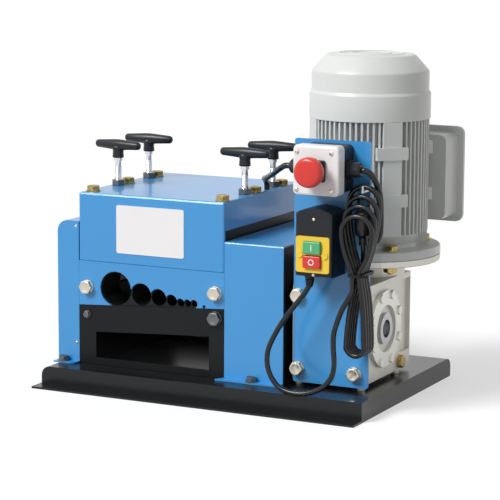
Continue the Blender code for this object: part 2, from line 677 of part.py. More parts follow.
GEAR_COVER_R = HEAD_L - GAP
GEAR_COVER_L = GEAR_COVER_R - GEAR_COVER_W
bend_x, bend_z = GEAR_COVER_L + GEAR_COVER_BEND, GEAR_COVER_TOP - GEAR_COVER_BEND
inner_bend = GEAR_COVER_BEND - COVER_SHEET
gear_cover = new_object("gear_cover", prism(
    [(GEAR_COVER_R, DECK), (GEAR_COVER_R, GEAR_COVER_TOP)]
    + arc(bend_x, bend_z, GEAR_COVER_BEND, 90, 180, 6) + [(GEAR_COVER_L, DECK)],
    "Y", HEAD_FRONT, HEAD_BACK), BLUE)
cut(gear_cover, prism(
    [(GEAR_COVER_R + OVERRUN, DECK - OVERRUN), (GEAR_COVER_R + OVERRUN, GEAR_COVER_TOP - COVER_SHEET)]
    + arc(bend_x, bend_z, inner_bend, 90, 180, 6) + [(GEAR_COVER_L + COVER_SHEET, DECK - OVERRUN)],
    "Y", HEAD_FRONT + COVER_SHEET, HEAD_BACK - COVER_SHEET))
fuse(gear_cover, foot_lip(GEAR_COVER_L, GEAR_COVER_R, 0, 0.7 * FOOT_LIP))

COUPLING_BACK = HEAD_FRONT + COUPLING_DEPTH
coupling = new_object("coupling_box", round_edges(
    slab((COUPLING_L, HEAD_FRONT, DECK), (COUPLING_R, COUPLING_BACK, COUPLING_TOP)), COVER_SHEET, 2,
    lambda mid, way: mid.z > COUPLING_TOP - GAP and abs(way.x) > 0.5), BLUE)
cut(coupling, slab((COUPLING_L - OVERRUN, HEAD_FRONT + COVER_SHEET, DECK - OVERRUN),
                   (COUPLING_R + OVERRUN, COUPLING_BACK - COVER_SHEET, COUPLING_TOP - COVER_SHEET)))
fuse(coupling, foot_lip(COUPLING_L, COUPLING_R, COUPLING_LIP_OUT, 0))


def flange_room():
    """Room for the motor's flange, from just under it upwards."""
    return rod(FLANGE_R + FLANGE_AIR, (GEARBOX_X, MOTOR_Y, 0), "Z", FLANGE_LOW - FLANGE_AIR,
               COUPLING_TOP + OVERRUN, 40)


cut(coupling, flange_room())
side = new_object("coupling_side_plate", slab(
    (COUPLING_R - COUPLING_PLATE, HEAD_FRONT + COVER_SHEET + GAP, DECK),
    (COUPLING_R, COUPLING_BACK - COVER_SHEET - GAP, COUPLING_TOP - COVER_SHEET - GAP)), BLACK)
cut(side, rod(SHAFT_HOLE, (0, AXIS_Y, AXIS_Z), "X", COUPLING_R - COUPLING_PLATE - OVERRUN,
              COUPLING_R + OVERRUN, 24), flange_room())

# bores for the foot bolts, through the lips and the base's deck

FOOT_BOLT_Y = HEAD_FRONT - FOOT_LIP / 2
foot_bolts = [(GEAR_COVER_L + 0.36 * GEAR_COVER_W, FOOT_BOLT_Y),
              ((COUPLING_L + COUPLING_R) / 2, FOOT_BOLT_Y)]
for piece, (x, y) in ((gear_cover, foot_bolts[0]), (coupling, foot_bolts[1])):
    cut(piece, rod(BOLT8_R + GAP, (x, y, 0), "Z", DECK - OVERRUN, DECK + FOOT_SHEET + OVERRUN, 12))
holes = bmesh.new()
for x, y in foot_bolts:
    rod(BOLT8_R + GAP, (x, y, 0), "Z", BASE_HEIGHT - BASE_SHEET - OVERRUN, BASE_HEIGHT + OVERRUN, 12, holes)
cut(base, holes)

# control post, bolted to the gearbox's foot face

post_bolts = [(GEARBOX_X + sx * BOLT_HALF_X, AXIS_Z + sz * BOLT_HALF_Z) for sx in (-1, 1) for sz in (-1, 1)]
POST_CORNER = 0.003
post = new_object("control_post", prism(rounded_rect(
    (POST_L + POST_R) / 2, (POST_BOTTOM + POST_TOP) / 2, POST_R - POST_L, POST_TOP - POST_BOTTOM,
    POST_CORNER, 2), "Y", POST_FRONT, POST_BACK), BLUE)
bores = bmesh.new()
for x, z in post_bolts:
    rod(BOLT10_R + GAP, (x, 0, z), "Y", POST_FRONT - OVERRUN, POST_BACK + OVERRUN, 12, bores)
cut(post, bores)

# worm gearbox: housing, ring cover, input flange

HOUSE_L, HOUSE_R = GEARBOX_X - GEARBOX_HALF_W, GEARBOX_X + GEARBOX_HALF_W
HOUSE_LOW, HOUSE_HIGH = AXIS_Z - GEARBOX_LOW, AXIS_Z + GEARBOX_HIGH
HOUSE_BACK = MOTOR_Y + GEARBOX_BACK
housing = new_object("gearbox_housing", round_edges(
    slab((HOUSE_L, GEARBOX_FACE, HOUSE_LOW), (HOUSE_R, HOUSE_BACK, HOUSE_HIGH)), GEARBOX_EDGE, 2,
    lambda mid, way: abs(way.x) > 0.5 or (abs(way.z) > 0.5 and mid.y > MOTOR_Y)), CAST)
NECK_HIGH = FLANGE_LOW - GAP
fuse(housing, turned([(HOUSE_HIGH - GEARBOX_EDGE, NECK_R), (NECK_HIGH - GEARBOX_EDGE, NECK_R),
                      (NECK_HIGH, NECK_R + GEARBOX_EDGE)], (GEARBOX_X, MOTOR_Y, 0), "Z", 24))
pads = bmesh.new()
for y in (GEARBOX_FACE + FOOT_PAD, MOTOR_Y - FOOT_PAD / 2):
    for x in (HOUSE_L + FOOT_PAD / 2, HOUSE_R - FOOT_PAD / 2):
        rod(FOOT_PAD / 2, (x, y, 0), "Z", DECK, HOUSE_LOW + GEARBOX_EDGE, 12, pads)
fuse(housing, pads)
POCKET = 0.004             # web left round the pocket over the worm
OIL_Z = HOUSE_LOW + FOOT_PAD
pocket = bmesh.new()
for out, x in ((-1, HOUSE_L), (1, HOUSE_R)):
    slab((x - POCKET_DEPTH if out > 0 else x - OVERRUN, AXIS_Y + RING_R + POCKET, OIL_Z + PLUG_R + POCKET),
         (x + OVERRUN if out > 0 else x + POCKET_DEPTH, HOUSE_BACK - 2 * POCKET,
          HOUSE_HIGH - 2 * POCKET), pocket)
bores = rod(HUB_SLEEVE_R + RUN_CLEAR, (0, AXIS_Y, AXIS_Z), "X", HOUSE_L - OVERRUN, HOUSE_R + OVERRUN, 24)
rod(ROTOR_R + RUN_CLEAR, (GEARBOX_X, MOTOR_Y, 0), "Z", AXIS_Z, NECK_HIGH + OVERRUN, 16, bores)
for x, z in post_bolts:
    rod(BOLT10_R + GAP, (x, 0, z), "Y", GEARBOX_FACE - OVERRUN, GEARBOX_FACE + SHANK_IN, 12, bores)
cut(housing, pocket, bores)

ring = new_object("gearbox_ring_cover", turned(
    [(0, RING_R), (RING_THICK, RING_R), (RING_THICK, RING_INNER_R), (0, RING_INNER_R)],
    (HOUSE_R + GAP, AXIS_Y, AXIS_Z), "X", 24, True), CAST)
bosses = bmesh.new()
for i in range(RING_BOSSES):
    angle = 2 * math.pi * (i + 0.5) / RING_BOSSES
    reach = RING_R - 0.8 * RING_BOSS_R
    rod(RING_BOSS_R, (HOUSE_R + GAP, AXIS_Y + reach * math.cos(angle), AXIS_Z + reach * math.sin(angle)), "X",
        RING_THICK / 4, 1.5 * RING_THICK, 6, bosses)
fuse(ring, bosses)

OIL_Y = MOTOR_Y - POCKET
new_object("oil_plug", turned([(0, PLUG_R, 6), (PLUG_H - GAP, PLUG_R, 6), (PLUG_H, 0.88 * PLUG_R)],
                              (HOUSE_R + GAP, OIL_Y, OIL_Z), "X", 12), ZINC)

flange_bolts = [(GEARBOX_X + FLANGE_BOLT_R * math.cos(a), MOTOR_Y + FLANGE_BOLT_R * math.sin(a))
                for a in (math.radians(45 + 90 * i) for i in range(4))]


def bolt_circle():
    bm = bmesh.new()
    for bx, by in flange_bolts:
        rod(BOLT10_R + GAP, (bx, by, 0), "Z", FLANGE_LOW - OVERRUN, FLANGE_TOP + OVERRUN, 8, bm)
    return bm


FLANGE_EDGE = 0.0012
input_flange = new_object("gearbox_input_flange", turned(
    [(FLANGE_LOW, FLANGE_R - FLANGE_EDGE), (FLANGE_LOW + FLANGE_EDGE, FLANGE_R),
     (FLANGE_SPLIT - GAP, FLANGE_R), (FLANGE_SPLIT - GAP, ROTOR_R + RUN_CLEAR),
     (FLANGE_LOW, ROTOR_R + RUN_CLEAR)], (GEARBOX_X, MOTOR_Y, 0), "Z", 32, True), CAST)
cut(input_flange, bolt_circle())

# motor: end shield with its flange, finned body, cowl

def spoke(angle, inner, outer, width, low, high, bm):
    """A block that stands out from the motor's axis at an angle in degrees."""
    a = math.radians(angle)
    along, across = Vector((math.cos(a), math.sin(a))), Vector((-math.sin(a), math.cos(a)))
    corners = [along * r + across * w for r, w in (
        (inner, -width / 2), (outer, -width / 2), (outer, width / 2), (inner, width / 2))]
    return prism([(GEARBOX_X + c.x, MOTOR_Y + c.y) for c in corners], "Z", low, high, bm)


shield = new_object("motor_end_shield", turned(
    [(FLANGE_SPLIT, FLANGE_R - FLANGE_EDGE), (FLANGE_SPLIT + FLANGE_EDGE, FLANGE_R),
     (FLANGE_TOP - FLANGE_EDGE, FLANGE_R), (FLANGE_TOP, FLANGE_R - FLANGE_EDGE),
     (FLANGE_TOP, SHIELD_R - FLANGE_EDGE),
     (FLANGE_TOP + 4 * FLANGE_EDGE, SHIELD_R - 2 * FLANGE_EDGE), (BODY_LOW - GAP, SHIELD_R),
     (BODY_LOW - GAP, ROTOR_R + RUN_CLEAR), (FLANGE_SPLIT, ROTOR_R + RUN_CLEAR)],
    (GEARBOX_X, MOTOR_Y, 0), "Z", 32, True), MOTOR_GREY)
ears = bmesh.new()
for i in range(4):
    spoke(SHIELD_EAR_TURN + 90 * i, 0.85 * SHIELD_R, SHIELD_EAR_R, SHIELD_EAR_W, FLANGE_TOP - OVERRUN,
          BODY_LOW - GAP, ears)
fuse(shield, ears)
cut(shield, bolt_circle())

outline = []
for i in range(FIN_COUNT):
    for share, radius in ((0, BODY_CORE_R), (1 - FIN_SHARE, BODY_CORE_R), (1 - 0.9 * FIN_SHARE, FIN_R),
                          (1 - 0.1 * FIN_SHARE, FIN_R)):
        angle = 2 * math.pi * (i + share) / FIN_COUNT
        outline.append((GEARBOX_X + radius * math.cos(angle), MOTOR_Y + radius * math.sin(angle)))
body = new_object("motor_body", prism(outline, "Z", BODY_LOW, BODY_TOP), MOTOR_GREY)

pads, lugs = bmesh.new(), bmesh.new()
for i in range(4):
    spoke(45 + 90 * i, 0.8 * BODY_CORE_R, PAD_R, PAD_W, BODY_LOW, COWL_LOW - GAP, pads)
    for height in LUG_HEIGHTS:
        spoke(45 + 90 * i, 0.85 * BODY_CORE_R, LUG_R, LUG_W, height - LUG_H / 2, height + LUG_H / 2, lugs)
fuse(body, pads, lugs, spoke(90, 0.8 * BODY_CORE_R, BOX_STAND - GAP, 0.75 * BOX_HALF_W, BOX_LOW + LID_CORNER,
                             BOX_HIGH - LID_CORNER, bmesh.new()))
cut(body, rod(ROTOR_R + RUN_CLEAR, (GEARBOX_X, MOTOR_Y, 0), "Z", BODY_LOW - OVERRUN, BODY_TOP + OVERRUN, 16))

crown_in, wall_in, band_in = COWL_CROWN_R - COWL_SHEET, COWL_WALL_R - COWL_SHEET, COWL_BAND_R - COWL_SHEET
cowl = new_object("fan_cowl", turned(
    [(COWL_TOP - COWL_SHEET, crown_in), (COWL_SHOULDER, wall_in), (COWL_STEP, wall_in),
     (COWL_STEP - 2 * COWL_SHEET, band_in), (COWL_LOW, band_in), (COWL_LOW, COWL_BAND_R),
     (COWL_STEP - 2 * COWL_SHEET, COWL_BAND_R), (COWL_STEP, COWL_WALL_R), (COWL_SHOULDER, COWL_WALL_R),
     (COWL_SHOULDER + 0.55 * COWL_CROWN_H, COWL_WALL_R - 0.25 * (COWL_WALL_R - COWL_CROWN_R)),
     (COWL_TOP, COWL_CROWN_R), (COWL_TOP, COWL_DISC_R), (COWL_TOP + COWL_DISC_H, COWL_DISC_R - COWL_DISC_H)],
    (GEARBOX_X, MOTOR_Y, 0), "Z", 32), MOTOR_GREY)
slots = bmesh.new()
for row, radius in enumerate((0.45 * COWL_CROWN_R, 0.65 * COWL_CROWN_R, 0.85 * COWL_CROWN_R)):
    for i in range(SLOT_COUNT):
        start = 360 * (i + 0.15 + 0.5 * (row % 2)) / SLOT_COUNT
        end = start + 0.7 * 360 / SLOT_COUNT
        near = arc(GEARBOX_X, MOTOR_Y, radius - SLOT_W / 2, start, end, 2)
        far = arc(GEARBOX_X, MOTOR_Y, radius + SLOT_W / 2, end, start, 2)
        prism(near + far, "Z", COWL_TOP - COWL_SHEET - OVERRUN, COWL_TOP + OVERRUN, slots)
cut(cowl, slots)

ROTOR_LOW = AXIS_Z + 0.5 * NECK_R
rotor = new_object("motor_rotor", turned(
    [(ROTOR_LOW, ROTOR_R), (FAN_LOW, ROTOR_R), (FAN_LOW, FAN_R), (FAN_LOW + FAN_BLADE, FAN_R),
     (FAN_LOW + FAN_BLADE, FAN_HUB_R), (FAN_LOW + FAN_HEIGHT, FAN_HUB_R)],
    (GEARBOX_X, MOTOR_Y, 0), "Z", 24), BLACK_NYLON, (GEARBOX_X, MOTOR_Y, 0))
vanes = bmesh.new()
for i in range(FAN_BLADES):
    spoke(360 * i / FAN_BLADES, 0.8 * FAN_HUB_R, FAN_R - FAN_BLADE, FAN_BLADE, FAN_LOW + FAN_BLADE / 2,
          FAN_LOW + FAN_HEIGHT - FAN_BLADE, vanes)
fuse(rotor, vanes)

# terminal box behind the motor, closed by its lid

BOX_FRONT = MOTOR_Y + BOX_STAND
BOX_BACK = BOX_FRONT + BOX_DEPTH
term_z, term_h = (BOX_LOW + BOX_HIGH) / 2, BOX_HIGH - BOX_LOW
term = new_object("terminal_box", prism(rounded_rect(GEARBOX_X, term_z, 2 * BOX_HALF_W, term_h, LID_CORNER),
                                        "Y", BOX_FRONT, BOX_BACK), MOTOR_GREY)
cut(term, prism(rounded_rect(GEARBOX_X, term_z, 2 * (BOX_HALF_W - TERM_WALL), term_h - 2 * TERM_WALL,
                             LID_CORNER - TERM_WALL), "Y", BOX_FRONT + TERM_WALL, BOX_BACK + OVERRUN))
LID_FRONT = BOX_BACK + GAP
lid = new_object("terminal_lid", prism(rounded_rect(
    GEARBOX_X, term_z, 2 * (BOX_HALF_W + LID_EDGE), term_h + 2 * LID_EDGE, LID_CORNER), "Y", LID_FRONT,
    LID_FRONT + LID_FLANGE), MOTOR_GREY)
fuse(lid, prism(rounded_rect(
    GEARBOX_X, term_z, 2 * (BOX_HALF_W - LID_EDGE), term_h - 2 * LID_EDGE, LID_CORNER), "Y",
    LID_FRONT + LID_FLANGE / 2, LID_BACK))
cut(lid, prism(rounded_rect(GEARBOX_X, term_z, 2 * (BOX_HALF_W - LID_EDGE - TERM_WALL),
                            term_h - 2 * (LID_EDGE + TERM_WALL), LID_CORNER), "Y", LID_FRONT - OVERRUN,
               LID_BACK - TERM_WALL))

# emergency stop on the post

ESTOP_BACK = POST_FRONT - GAP
stop_body_front = ESTOP_FRONT + ESTOP_LID_T + GAP
estop_body = new_object("estop_body", prism(rounded_rect(
    ESTOP_X, ESTOP_Z, ESTOP_BODY, ESTOP_BODY, ESTOP_CORNER), "Y", stop_body_front, ESTOP_BACK), SLATE)
cut(estop_body, prism(rounded_rect(
    ESTOP_X, ESTOP_Z, ESTOP_BODY - 2 * ESTOP_WALL, ESTOP_BODY - 2 * ESTOP_WALL, ESTOP_CORNER - ESTOP_WALL),
    "Y", stop_body_front - OVERRUN, ESTOP_BACK - ESTOP_WALL))


def front_rounded(bm, front, width, steps=2):
    """Rounds the edges that lie in a front face."""
    return round_edges(bm, width, steps, lambda mid, way: mid.y < front + GAP / 2 and abs(way.y) < 0.5)


ESTOP_EDGE = 0.003
estop_lid = new_object("estop_lid", front_rounded(prism(rounded_rect(
    ESTOP_X, ESTOP_Z, ESTOP_LID, ESTOP_LID, ESTOP_CORNER), "Y", ESTOP_FRONT, ESTOP_FRONT + ESTOP_LID_T),
    ESTOP_FRONT, ESTOP_EDGE), WHITE)
STEM_HOLE = STEM_R + RUN_CLEAR
cut(estop_lid, rod(STEM_HOLE, (ESTOP_X, 0, ESTOP_Z), "Y", ESTOP_FRONT - OVERRUN,
                   ESTOP_FRONT + ESTOP_LID_T + OVERRUN, 24))
BEZEL_FRONT = ESTOP_FRONT - GAP - BEZEL_T
bezel = new_object("estop_bezel", front_rounded(prism(rounded_rect(
    ESTOP_X, ESTOP_Z, BEZEL, BEZEL, ESTOP_EDGE, 2), "Y", BEZEL_FRONT, ESTOP_FRONT - GAP), BEZEL_FRONT,
    ESTOP_EDGE / 3), PHENOLIC)
cut(bezel, rod(STEM_HOLE, (ESTOP_X, 0, ESTOP_Z), "Y", BEZEL_FRONT - OVERRUN, ESTOP_FRONT + OVERRUN, 24))

CAP_FRONT = ESTOP_FRONT - CAP_STAND
stop_axis = (ESTOP_X, 0, ESTOP_Z)
new_object("estop_stem", rod(STEM_R, stop_axis, "Y", CAP_FRONT + CAP_T + GAP,
                             ESTOP_FRONT + 0.7 * ESTOP_LID_T, 24), BLACK_NYLON, stop_axis)
new_object("estop_cap", turned(
    [(CAP_FRONT, 0.25 * CAP_R), (CAP_FRONT + 0.06 * CAP_T, 0.62 * CAP_R),
     (CAP_FRONT + 0.2 * CAP_T, 0.86 * CAP_R),
     (CAP_FRONT + 0.42 * CAP_T, CAP_R), (CAP_FRONT + 0.75 * CAP_T, CAP_R), (CAP_FRONT + CAP_T, 0.78 * CAP_R)],
    stop_axis, "Y", 24), RED, stop_axis)

# switch box with a crowned top, its yellow plate and two buttons

SWITCH_BACK = POST_FRONT - GAP
half, rise = SWITCH_W / 2, SWITCH_CROWN - SWITCH_SHOULDER
crown_r = (half * half + rise * rise) / (2 * rise)
crown_turn = math.degrees(math.asin(half / crown_r))
outline = [(SWITCH_X - half, SWITCH_LOW), (SWITCH_X + half, SWITCH_LOW)] + arc(
    SWITCH_X, SWITCH_CROWN - crown_r, crown_r, 90 - crown_turn, 90 + crown_turn, 8)
switch_box = new_object("switch_box", front_rounded(
    prism(outline, "Y", SWITCH_FRONT, SWITCH_BACK), SWITCH_FRONT, SWITCH_EDGE), SLATE)
PLATE_FACE = SWITCH_FRONT - GAP - SWITCH_PLATE_T
pockets, windows = bmesh.new(), bmesh.new()
POCKET_BACK = PLATE_FACE + BUTTON_IN + BUTTON_TRAVEL + GAP
for z in (START_Z, STOP_Z):
    w, h = BUTTON_W / 2 + RUN_CLEAR, BUTTON_H / 2 + RUN_CLEAR
    slab((SWITCH_X - w, SWITCH_FRONT - OVERRUN, z - h), (SWITCH_X + w, POCKET_BACK, z + h), pockets)
    slab((SWITCH_X - w, PLATE_FACE - OVERRUN, z - h), (SWITCH_X + w, SWITCH_FRONT + OVERRUN, z + h), windows)
cut(switch_box, pockets)
switch_plate = new_object("switch_plate", prism(rounded_rect(
    SWITCH_X, SWITCH_PLATE_Z, SWITCH_PLATE, SWITCH_PLATE, SWITCH_EDGE, 2), "Y", PLATE_FACE,
    SWITCH_FRONT - GAP), YELLOW)
EAR_OUT = 0.0180           # of the plate's screws from its middle
ears = bmesh.new()
for out in (-1, 1):
    rod(EAR_R, (SWITCH_X + out * EAR_OUT, 0, SWITCH_PLATE_Z), "Y", PLATE_FACE - SWITCH_PLATE_T / 2,
        PLATE_FACE + SWITCH_PLATE_T / 2, 16, ears)
fuse(switch_plate, ears)
cut(switch_plate, windows)
for name, z, colour in (("start_button", START_Z, GREEN), ("stop_button", STOP_Z, RED)):
    new_object(name, front_rounded(prism(rounded_rect(
        SWITCH_X, z, BUTTON_W, BUTTON_H, SWITCH_EDGE / 2, 2), "Y", PLATE_FACE - BUTTON_STAND,
        PLATE_FACE + BUTTON_IN), PLATE_FACE - BUTTON_STAND, SWITCH_EDGE / 3), colour, (SWITCH_X, 0, z))

# gears, rollers and blades

def gear_outline(cy, cz, teeth, turn):
    """Outline of an involute spur gear in the (y, z) plane, one tooth pointing at turn degrees."""
    pressure = math.radians(20)
    pitch = TOOTH_MODULE * teeth / 2
    base_r = pitch * math.cos(pressure)
    tip, foot = pitch + 0.85 * TOOTH_MODULE, pitch - 1.2 * TOOTH_MODULE
    involute = math.tan(pressure) - pressure
    half_tooth = (math.pi * TOOTH_MODULE / 2 - TOOTH_BACKLASH) / (2 * pitch) + involute
    flank = [(foot, half_tooth)]
    for share in (0, 1):
        r = max(base_r, foot) + (tip - max(base_r, foot)) * share
        roll = math.acos(min(1, base_r / r))
        flank.append((r, half_tooth - (math.tan(roll) - roll)))
    points = []
    for tooth in range(teeth):
        middle = math.radians(turn) + 2 * math.pi * tooth / teeth
        for r, a in [(r, -a) for r, a in flank] + [(r, a) for r, a in reversed(flank)]:
            points.append((cy + r * math.cos(middle + a), cz + r * math.sin(middle + a)))
    return points


def knurled(cy, cz, radius):
    """Outline with fine axial grooves."""
    points = []
    for i in range(2 * KNURL_COUNT):
        a = math.pi * i / KNURL_COUNT
        r = radius - KNURL_DEPTH * (i % 2)
        points.append((cy + r * math.cos(a), cz + r * math.sin(a)))
    return points


ROLL_L, ROLL_R = INNER_L + 2 * GAP, INNER_R - 2 * GAP
SHAFT_END = GEARBOX_X + GEARBOX_HUB_HALF - SHAFT_STOP
drive = new_object("drive_roller", prism(knurled(AXIS_Y, AXIS_Z, DRIVE_ROLLER_R), "X", ROLL_L, ROLL_R), STEEL,
                   (0, AXIS_Y, AXIS_Z))
fuse(drive, rod(SHAFT_R, (0, AXIS_Y, AXIS_Z), "X", GEAR_L, SHAFT_END, 16),
     prism(gear_outline(AXIS_Y, AXIS_Z, TEETH_ROLLER, 0), "X", GEAR_L + GAP, GEAR_R))
rear = new_object("rear_roller", prism(knurled(REAR_Y, AXIS_Z, DRIVE_ROLLER_R), "X", ROLL_L, ROLL_R), STEEL,
                  (0, REAR_Y, AXIS_Z))
fuse(rear, rod(SHAFT_R, (0, REAR_Y, AXIS_Z), "X", GEAR_L, PLATE_X[1] + SIDE_PLATE / 2, 16),
     prism(gear_outline(REAR_Y, AXIS_Z, TEETH_ROLLER, 0), "X", GEAR_L + GAP, GEAR_R))
idler = new_object("idler_gear", prism(gear_outline(IDLER_Y, AXIS_Z, TEETH_IDLER, 180 / TEETH_IDLER), "X",
                                       GEAR_L + GAP, GEAR_R), STEEL, (0, IDLER_Y, AXIS_Z))
cut(idler, rod(PIN_R + RUN_CLEAR, (0, IDLER_Y, AXIS_Z), "X", GEAR_L - OVERRUN, GEAR_R + OVERRUN, 24))

new_object("output_hub", turned(
    [(GEARBOX_X - GEARBOX_HUB_HALF, HUB_SLEEVE_R), (GEARBOX_X + GEARBOX_HUB_HALF, HUB_SLEEVE_R),
     (GEARBOX_X + GEARBOX_HUB_HALF, HUB_BORE_R), (GEARBOX_X - GEARBOX_HUB_HALF, HUB_BORE_R)],
    (0, AXIS_Y, AXIS_Z), "X", 24, True), STEEL, (0, AXIS_Y, AXIS_Z))

UPPER_L, UPPER_R = PLATE_X[0] - SIDE_PLATE / 2, PLATE_X[1] + SIDE_PLATE / 2
blades = new_object("blade_shaft", rod(UPPER_SHAFT_R, (0, AXIS_Y, UPPER_Z), "X", UPPER_L, UPPER_R, 12), STEEL,
                    (0, AXIS_Y, UPPER_Z))
discs = bmesh.new()
for x, z, r in feed:
    rod(BLADE_R, (0, AXIS_Y, UPPER_Z), "X", x - BLADE_FACE / 2, x + BLADE_FACE / 2, 16, discs)
fuse(blades, discs)
press = new_object("upper_roller", rod(BLADE_R, (0, REAR_Y, UPPER_Z), "X", ROLL_L, ROLL_R, 24), STEEL,
                   (0, REAR_Y, UPPER_Z))
fuse(press, rod(UPPER_SHAFT_R, (0, REAR_Y, UPPER_Z), "X", UPPER_L, UPPER_R, 12))

for row, y in (("front", AXIS_Y), ("rear", REAR_Y)):
    for side, x in zip(("left", "right"), PLATE_X):
        low, high = x - SIDE_PLATE / 2, x + SIDE_PLATE / 2
        block = new_object(f"block_{row}_{side}", slab((low, y - BLOCK_WIDTH / 2, BLOCK_LOW),
                                                       (high, y + BLOCK_WIDTH / 2, BLOCK_HIGH)), CAST)
        cut(block, rod(UPPER_SHAFT_R + RUN_CLEAR, (0, y, UPPER_Z), "X", low - OVERRUN, high + OVERRUN, 12))

# pressure screws with T handles: a left front, b left rear, c right front, d right rear

for letter, (x, y), turn in zip("abcd", screws, HANDLE_TURNS):
    hub_low = HANDLE_Z - HUB_DROP
    bar = [(-HANDLE_LEN / 2, 0.55 * HANDLE_TIP_R), (-0.46 * HANDLE_LEN, HANDLE_TIP_R), (0, HANDLE_MID_R),
           (0.46 * HANDLE_LEN, HANDLE_TIP_R), (HANDLE_LEN / 2, 0.55 * HANDLE_TIP_R)]
    handle = new_object(f"t_handle_{letter}", turned(bar, (x, y, HANDLE_Z), "X", 12), PHENOLIC,
                        (x, y, 0), turn)
    fuse(handle, turned([(hub_low - COLLAR_H, COLLAR_R), (hub_low, COLLAR_R), (hub_low, HUB_R),
                         (HANDLE_Z, 0.9 * HUB_R)], (x, y, 0), "Z", 12))
    new_object(f"t_screw_{letter}", rod(SCREW_R, (x, y, 0), "Z", BLOCK_HIGH + GAP,
                                        hub_low - COLLAR_H - GAP, 12), CHROME, (x, y, 0))

# cables: glands, the stop's two leads, and the mains lead with its hank and plug

def smooth(points, spacing):
    """Points at an even spacing along a smooth curve through the given ones, both ends kept."""
    pts = [Vector(p) for p in points]
    pts = [2 * pts[0] - pts[1]] + pts + [2 * pts[-1] - pts[-2]]
    fine = []
    for a, b, c, d in zip(pts, pts[1:], pts[2:], pts[3:]):
        for i in range(16):
            t = i / 16
            fine.append(0.5 * (2 * b + (c - a) * t + (2 * a - 5 * b + 4 * c - d) * t * t
                               + (3 * b - 3 * c + d - a) * t ** 3))
    fine.append(pts[-2])
    lengths = [0.0]
    for a, b in zip(fine, fine[1:]):
        lengths.append(lengths[-1] + (b - a).length)
    count = max(2, round(lengths[-1] / spacing))
    result, k = [], 0
    for i in range(count + 1):
        want = lengths[-1] * i / count
        while k < len(fine) - 2 and lengths[k + 1] < want:
            k += 1
        share = (want - lengths[k]) / (lengths[k + 1] - lengths[k])
        result.append(fine[k].lerp(fine[k + 1], min(1, share)))
    return result, lengths[-1]


def cable(name, points, radius, resolution, mat):
    """A round cable on a poly curve, closed at both ends."""
    curve = bpy.data.curves.new(name, "CURVE")
    curve.dimensions = "3D"
    curve.bevel_depth = radius
    curve.bevel_resolution = resolution
    curve.use_fill_caps = True
    spline = curve.splines.new("POLY")
    spline.points.add(len(points) - 1)
    for point, place in zip(spline.points, points):
        point.co = (*place, 1)
    obj = bpy.data.objects.new(name, curve)
    obj.parent = root
    bpy.context.scene.collection.objects.link(obj)
    curve.materials.append(mat)
    return obj


def gland(piece, seat, axis, out, length, radius):
    """Joins a cable gland to the piece that carries it, and gives the place where its cable starts."""
    rings = [(-GAP, radius, 6), (0.35 * length, radius, 6), (0.35 * length, 0.94 * radius),
             (0.85 * length, 0.9 * radius), (length, 0.68 * radius)]
    rings = [(out * ring[0], *ring[1:]) for ring in rings]
    if out < 0:
        rings.reverse()
    fuse(piece, turned(rings, seat, axis, 12))
    end = Vector(seat)
    end["XYZ".index(axis)] += out * (GAP + length)
    return end


GROMMET_R = 0.0065
GROMMET_L = 0.0040
GROMMET_BACK = 0.0075      # of the mains lead's grommet behind the switch box's front
MAINS_SHIFT = -0.0083      # of the mains lead from the switch box's middle
REAR_GLAND_Z = 0.0060      # of the right lead's end above the switch plate's middle
REAR_GLAND_X = 0.0055      # of the right lead's end to the right of the switch box's middle
GLAND_SEAT = ESTOP_BODY / 2
left_end = gland(estop_body, (ESTOP_X - GLAND_SEAT, GLAND_Y, ESTOP_Z), "X", -1, GLAND_LEN, GLAND_R)
right_end = gland(estop_body, (ESTOP_X + GLAND_SEAT, GLAND_Y, ESTOP_Z), "X", 1, GLAND_LEN, GLAND_R)
mains_end = gland(switch_box, (SWITCH_X + MAINS_SHIFT, SWITCH_FRONT + GROMMET_BACK, SWITCH_LOW), "Z", -1,
                  GROMMET_L, GROMMET_R)
rear_end = Vector((SWITCH_X + REAR_GLAND_X, POST_BACK + GAP, SWITCH_PLATE_Z + REAR_GLAND_Z))
cover_end = Vector((*lead_hole, HEAD_TOP + GAP))

LEFT_ROUTE = ((-0.1328, 0.0375, 0.3270), (-0.1473, 0.0520, 0.3203), (-0.1735, 0.0850, 0.3078),
              (-0.2019, 0.1250, 0.2965), (-0.2180, 0.1530, 0.2920), (-0.2285, 0.1760, 0.2880),
              (-0.2318, 0.1875, 0.2825))
RIGHT_ROUTE = ((-0.0150, 0.0375, 0.3275), (-0.0088, 0.0390, 0.3235), (-0.0040, 0.0440, 0.3135),
               (-0.0022, 0.0520, 0.3007), (-0.0022, 0.0580, 0.2850), (-0.0041, 0.0640, 0.2480),
               (-0.0105, 0.0710, 0.2330), (-0.0240, 0.0830, 0.2250), (-0.0420, 0.0930, 0.2215),
               (-0.0590, 0.0940, 0.2210), (-0.0690, 0.0850, 0.2215))
MAINS_ROUTE = ((-0.0862, 0.0196, 0.1730), (-0.0921, 0.0180, 0.1623), (-0.1027, 0.0155, 0.1479),
               (-0.1166, 0.0120, 0.1287), (-0.1291, 0.0080, 0.1071), (-0.1382, 0.0050, 0.0854),
               (-0.1387, 0.0020, 0.0662), (-0.1313, -0.0010, 0.0490), (-0.1179, -0.0030, 0.0362),
               (-0.0997, -0.0040, 0.0312), (-0.0782, -0.0040, 0.0326), (-0.0578, -0.0030, 0.0411),
               (-0.0448, -0.0010, 0.0550), (-0.0412, 0.0020, 0.0727), (-0.0445, 0.0060, 0.0961),
               (-0.0455, 0.0090, 0.1119), (-0.0424, 0.0120, 0.1277), (-0.0362, 0.0148, 0.1460),
               (-0.0278, 0.0168, 0.1610))
LEAD_STRAIGHT = 0.006      # straight run out of each gland


